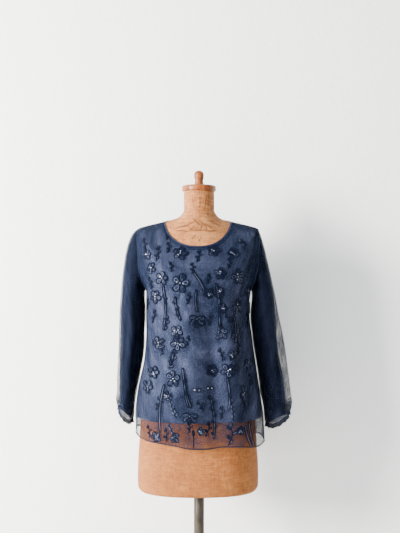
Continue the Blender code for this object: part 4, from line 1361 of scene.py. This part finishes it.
backMotifs = (
    (sprig, 150, 1318, 30), (flower, 96, 1312, 32), (sprig, 48, 1330, 28), (flower, 0, 1322, 32),
    (sprig, -52, 1312, 30), (flower, -102, 1306, 32), (flower, 112, 1240, 30),
    (stem, 106, 1092, 109, 1222), (flower, 52, 1232, 38), (stem, 2, 1140, 6, 1226),
    (bell, 2, 1116, 46), (flower, -48, 1246, 26), (stem, -52, 1070, -47, 1230),
    (flower, -58, 1176, 24), (flower, -110, 1222, 34), (leafStem, 60, 1104, 72, 1178),
    (flower, 124, 1168, 28), (flower, -112, 1142, 30), (flower, 66, 1062, 32),
    (sprig, 112, 1040, 28), (flower, -66, 1052, 28), (sprig, -112, 1058, 30),
    (flower, -2, 1030, 30), (flower, 134, 962, 28), (sprig, 84, 980, 34),
    (stem, 24, 872, 44, 980), (bell, 26, 846, 42), (flower, -40, 968, 28), (flower, -92, 972, 32),
    (dots, -6, 912, 13), (spray, 82, 832, 92, 902), (spray, -98, 836, -86, 904),
    (flower, -134, 900, 32), (stem, 114, 796, 104, 926), (leafStem, -42, 782, -34, 900),
    (flower, 72, 786, 24), (bud, 8, 792, 28), (sprig, -80, 790, 36), (stem, -152, 770, -140, 828),
    (flower, 128, 786, 22), (sprig, -84, 1270, 24), (sprig, 84, 1180, 24),
    (flower, 142, 1100, 26), (sprig, -146, 1190, 24), (sprig, 20, 1076, 22),
    (sprig, -140, 1000, 26), (flower, 60, 910, 22), (sprig, -60, 880, 24), (sprig, 146, 1022, 24),
    (sprig, -18, 1188, 22),
)


# Values of a grid between its points
def sampled(grid, i, j):
    i, j = np.clip(i, 0, grid.shape[0] - 1.001), np.clip(j, 0, grid.shape[1] - 1.001)
    a, b = i.astype(int), j.astype(int)
    s, t = (i - a)[:, None], (j - b)[:, None]
    return ((grid[a, b] * (1 - t) + grid[a, b + 1] * t) * (1 - s)
            + (grid[a + 1, b] * (1 - t) + grid[a + 1, b + 1] * t) * s)


# Place on a panel at a given x and z, by Newton steps over the grid's two directions
def clothAt(side, x, z):
    grid, normals = panelSurfaces[side]
    i = np.full(len(x), grid.shape[0] * 0.55)
    j = np.full(len(x), grid.shape[1] * 0.5)
    for _ in range(30):
        point = sampled(grid, i, j)
        down = sampled(grid, i + 0.5, j) - sampled(grid, i - 0.5, j)
        along = sampled(grid, i, j + 0.5) - sampled(grid, i, j - 0.5)
        missX, missZ = x - point[:, 0], z - point[:, 2]
        scale = down[:, 0] * along[:, 2] - down[:, 2] * along[:, 0] + 1e-9
        i = np.clip(i + np.clip((missX * along[:, 2] - missZ * along[:, 0]) / scale, -9, 9),
                    1, grid.shape[0] - 2)
        j = np.clip(j + np.clip((down[:, 0] * missZ - down[:, 2] * missX) / scale, -9, 9),
                    1, grid.shape[1] - 2)
    ease = (np.abs(along[:, 0]) / np.linalg.norm(along, axis=1),
            np.abs(down[:, 2]) / np.linalg.norm(down, axis=1))
    return sampled(grid, i, j), unit(sampled(normals, i, j)), ease


# Flattened balls of one outline: pole, rings, pole
def lensShape(rings, sides):
    t, spin = np.linspace(0, math.pi, rings + 2)[1:-1, None], circle(sides)
    points = np.stack(np.broadcast_arrays(np.sin(t) * np.cos(spin), np.sin(t) * np.sin(spin),
                                          np.cos(t)), -1).reshape(-1, 3)
    return (np.concatenate((points, [(0, 0, 1), (0, 0, -1)])), gridQuads(rings, sides, True)[0],
            endFans(rings, sides))


# Many lenses in one mesh: centre + long axis + short axis + height along the normal
def lensMesh(name, centres, longAxes, shortAxes, upAxes, shape, look):
    points, quads, fans = shape
    place = (centres[:, None] + points[None, :, :1] * longAxes[:, None]
             + points[None, :, 1:2] * shortAxes[:, None] + points[None, :, 2:] * upAxes[:, None])
    start = (np.arange(len(centres)) * len(points))[:, None, None]
    width = np.linalg.norm(shortAxes, axis=1)[:, None, None]
    across = points[quads][None, ..., 1] * width * mm
    uv = np.stack((np.zeros_like(across), across), -1).reshape(-1, 4, 2)
    piece = buildMesh(name, place.reshape(-1, 3), (quads[None] + start).reshape(-1, 4), uv, look,
                      (fans[None] + start).reshape(-1, 3))


# Motifs are laid on a panel by the x and z of their points, squeezed where the cloth turns away
def makeEmbroidery(side, motifs):
    pick = np.random.default_rng(thread["seeds"][side])
    centres = np.array([(m[1], m[2]) for m in motifs], float)
    ease = np.stack(clothAt(side, *centres.T)[2], -1)
    strokes, pads, sequins = {"dark": [], "glint": []}, [], []
    for (kind, x, z, *more), stretch in zip(motifs, ease):
        if kind in (stem, leafStem, spray):
            run = np.array((more[0] - x, more[1] - z), float)
            motif = kind(pick, np.linalg.norm(run))
            tilt, stretch = math.atan2(run[1], run[0]) - math.pi / 2, np.ones(2)
        else:
            motif, tilt = kind(pick, more[0]), pick.normal(0, thread["motifTilt"])
        for shade in strokes:
            for path, closed in motif[shade]:
                strokes[shade].append((rotated(path, tilt) * stretch + (x, z), closed))
        for a, b, half, wide, turn in motif["pads"]:
            pads.append((*(rotated([(a, b)], tilt)[0] * stretch + (x, z)), half, wide, turn + tilt))
        for spot in motif["sequins"]:
            sequins.append(rotated([spot], tilt)[0] * stretch + (x, z))
    # The pale cords are painted glints beside the dark cords
    for shade, look in (("dark", darkCord), ("glint", glintCord)):
        paths = [path for path, closed in strokes[shade]]
        point, normal, ease = clothAt(side, *np.concatenate(paths).T)
        point = point + normal * thread[shade] * thread["sunk"]
        cuts = np.cumsum([len(path) for path in paths])[:-1]
        cords = [(p, n, closed) for p, n, (path, closed)
                 in zip(np.split(point, cuts), np.split(normal, cuts), strokes[shade])]
        cordMesh("embroidery" + shade.title() + side.title(), cords, thread[shade], look)
    pads, sequins = np.array(pads), np.array(sequins)
    point, normal, ease = clothAt(side, pads[:, 0], pads[:, 1])
    right = unit(np.cross(normal, (0, 0, 1)))
    rise = np.cross(right, normal)
    rise *= np.sign(rise[:, 2:])
    right *= np.sign(right[:, :1])
    c, s = np.cos(pads[:, 4:]), np.sin(pads[:, 4:])
    lensMesh("petals" + side.title(), point + normal * thread["padLift"],
             (right * c + rise * s) * pads[:, 2:3], (rise * c - right * s) * pads[:, 3:4],
             normal * thread["padHeight"], lensShape(5, 10), petalSilk)
    point, normal, ease = clothAt(side, *sequins.T)
    up = unit(normal + pick.normal(0, thread["sequinTilt"], (len(sequins), 3)))
    first = unit(np.cross(up, (0.3, 0.1, 1.0)))
    size = thread["sequin"]
    lensMesh("sequins" + side.title(), point + normal * thread["sequinLift"], first * size,
             np.cross(up, first) * size, up * thread["sequinHeight"], lensShape(3, 8), sequinShine)


makeEmbroidery("front", frontMotifs)
makeEmbroidery("back", backMotifs)
print("embroidery made")


# The form and its stand

formRelief = {"turns": 168, "neckStep": 2.4, "step": 5.0, "skinGap": 0.5, "lump": 0.4,
              "lumpLength": 95, "seed": 21, "coverReach": 0.4, "coverStart": 0.8, "coverEnd": 13.5}
# Paste wrinkles: angle, height, half length, half width, lift in mm, tilt in degrees
formWrinkles = (
    (96, 1398, 16, 2, 1.3, -38), (78, 1393, 13, 1.8, 1.2, -45), (64, 1386, 12, 1.8, 1.3, -35),
    (118, 1392, 15, 2, 1, 30), (136, 1384, 14, 2.2, 1, 22), (90, 1374, 24, 1.8, 1.2, 0),
    (62, 1371, 17, 1.8, 1.1, 6), (122, 1372, 17, 2, 1, -5), (104, 1381, 9, 1.6, -1, 60),
    (84, 1383, 8, 1.5, 1, 70), (72, 1378, 7, 1.5, -1, 80), (98, 1352, 9, 1.4, 0.9, 65),
    (88, 1346, 8, 1.4, -0.8, 75), (45, 1396, 16, 2.2, 1.1, -30), (240, 1408, 16, 2, 1.1, 20),
    (270, 1415, 22, 2, 1, -8), (300, 1408, 16, 2, 1.1, -22), (210, 1404, 14, 2, 1, 30),
    (84, 1462, 20, 1.6, -0.7, 84), (68, 1452, 18, 1.6, 0.7, 80), (112, 1456, 14, 1.6, 0.6, -84),
    (262, 1456, 18, 1.6, 0.7, 86), (292, 1450, 16, 1.6, -0.6, -82), (330, 1400, 12, 2, 1, 25),
)
formSeams = (48, 132, 228, 312, 0, 180)  # angles of the covering's upright seams
formSeam = {"depth": 0.5, "halfWidth": 1.6}
# Painted shade under the paste wrinkles: how narrow, how far below the wrinkle, and how strong
wrinkleShadeSizes = {"narrow": 0.8, "drop": 0.9, "share": 1.1}


# Bell of one wrinkle: exp(-(across / width)^2) exp(-(along / reach)^4), in a turned frame.
# Seen from the front a growing angle runs to the left
def wrinkleBell(point, angle, wrinkle, narrow=1.0, drop=0.0):
    place, middle, reach, width, _, tilt = wrinkle
    away = np.radians(angleAway(angle, place)) * np.hypot(point[..., 0], point[..., 1])
    rise, c, s = point[..., 2] - middle, math.cos(math.radians(tilt)), math.sin(math.radians(tilt))
    along, across = -away * c + rise * s, away * s + rise * c + drop * width
    return np.exp(-((across / (width * narrow)) ** 2)) * np.exp(-((along / reach) ** 4))


# Relief: broad lumps, shallow upright seams, and wrinkles as tilted bells, none of them where
# the blouse rests on the form
def formLift(row, angle):
    point = bodySurface(row, angle, "form")
    lift = formRelief["lump"] * softNoise(np.degrees(angle) * 2.4, point[..., 2],
                                          formRelief["lumpLength"], formRelief["seed"])
    for place in formSeams:
        away = np.radians(angleAway(angle, place)) * np.hypot(point[..., 0], point[..., 1])
        lift = lift - formSeam["depth"] * np.exp(-((away / formSeam["halfWidth"]) ** 2))
    for wrinkle in formWrinkles:
        lift = lift + wrinkle[4] * wrinkleBell(point, angle, wrinkle)
    covered = np.clip((row - level["neckline"]) / formRelief["coverReach"]
                      + formRelief["coverStart"], 0, 1)
    covered = covered * np.clip(formRelief["coverEnd"] - row, 0, 1)
    return lift * (1 - covered) - formRelief["skinGap"]


# Painted shade: a dark line along the lower edge of each paste wrinkle, where its shade falls
def wrinkleShadeMask(row, angle):
    point = bodySurface(row, angle, "form")
    total = np.zeros(point.shape[:-1])
    for wrinkle in formWrinkles:
        total += abs(wrinkle[4]) * wrinkleBell(point, angle, wrinkle, wrinkleShadeSizes["narrow"],
                                               wrinkleShadeSizes["drop"])
    return np.clip(total * wrinkleShadeSizes["share"], 0, 0.9)


# Form: the body's rings + normal x relief, level at both ends
def makeForm():
    fine = evenLevels(0, level["neckline"], formRelief["neckStep"])[:-1]
    rows = np.append(fine, evenLevels(level["neckline"], level["formUnder"],
                                      formRelief["step"]))[:, None]
    turns = circle(formRelief["turns"])[None, :]
    rings = bodyLayer(rows, turns, "form", formLift(rows, turns))
    for end in (0, -1):
        rings[end, :, 2] = rings[end, :, 2].mean()
    # The density attribute carries the painted shade under the paste wrinkles
    piece = cappedPiece("dressForm", rings, (rings[0].mean(0), rings[-1].mean(0)), agedLinen, 50,
                        np.append(wrinkleShadeMask(rows, turns), (0, 0)))
    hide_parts("dress_form")


makeForm()

# Profiles are (radius, height) from the bottom up
turnedPieces = {
    "neckCap": {
        "node": "neck_cap", "look": varnishedWood, "slot": "wood", "segments": 96,
        "profile": ((0, 1491.2), (46, 1491.2), (48.8, 1491.3), (50.2, 1492.2), (50.8, 1494),
                    (50.8, 1503.6), (50.2, 1505.6), (48.6, 1507.2), (45.5, 1508.4), (38, 1509.8),
                    (30, 1510.7), (20, 1511), (0, 1511)),
    },
    "woodFinial": {
        "node": "finial", "look": varnishedWood, "slot": "wood", "segments": 64,
        "profile": ((0, 1511.3), (13.6, 1511.3), (14, 1511.8), (13.7, 1513.5), (13.1, 1516.5),
                    (12.6, 1520), (12.5, 1524), (13.2, 1528.5), (14.3, 1533), (14.8, 1537.5),
                    (14.8, 1541), (14.1, 1545), (12.5, 1548.6), (9.8, 1551.3), (6.5, 1552.9),
                    (3, 1553.5), (0, 1553.6)),
    },
    "steelPole": {
        "node": "pole", "look": wornSteel, "slot": "steel", "segments": 64,
        "profile": ((0, 26.3), (15.5, 26.3), (15.5, 120), (15.5, 240), (15.5, 360), (15.5, 480),
                    (15.5, 600.4), (14.8, 601.6), (0, 601.6)),
    },
    "roundBase": {
        "node": "base", "look": darkIron, "slot": "iron", "segments": 128,
        "profile": ((0, 0), (164, 0), (166, 0.3), (168.6, 2), (170, 4.6), (170, 9.4), (169, 11.2),
                    (164, 13), (150, 16.8), (120, 20.4), (90, 22.9), (60, 24.8), (38, 25.9),
                    (30, 26), (0, 26)),
    },
}
for name, turned in turnedPieces.items():
    piece = turnedPiece(name, turned["profile"], turned["segments"], turned["look"])
    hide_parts(turned["node"])

poleCollar = {"low": 26.3, "high": 68.3, "bore": 15.8, "out": 26.5, "round": 2.0, "segments": 72}


# Collar: a rounded rectangle carried round the pole
def makeCollar():
    low, high, bore, out, r = (poleCollar[key] for key in ("low", "high", "bore", "out", "round"))
    upper = [(out - r + r * math.cos(a), high - r + r * math.sin(a))
             for a in np.linspace(0, math.pi / 2, 5)]
    radius, height = np.array([(bore, low), (out, low), *upper, (bore, high)]).T
    spin = circle(poleCollar["segments"])[:, None]
    grid = np.stack(np.broadcast_arrays(radius * np.cos(spin), radius * np.sin(spin), height), -1)
    piece = ringPiece("poleCollar", grid, darkIron, 40)
    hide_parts("pole_collar")


makeCollar()
print("form and stand made")
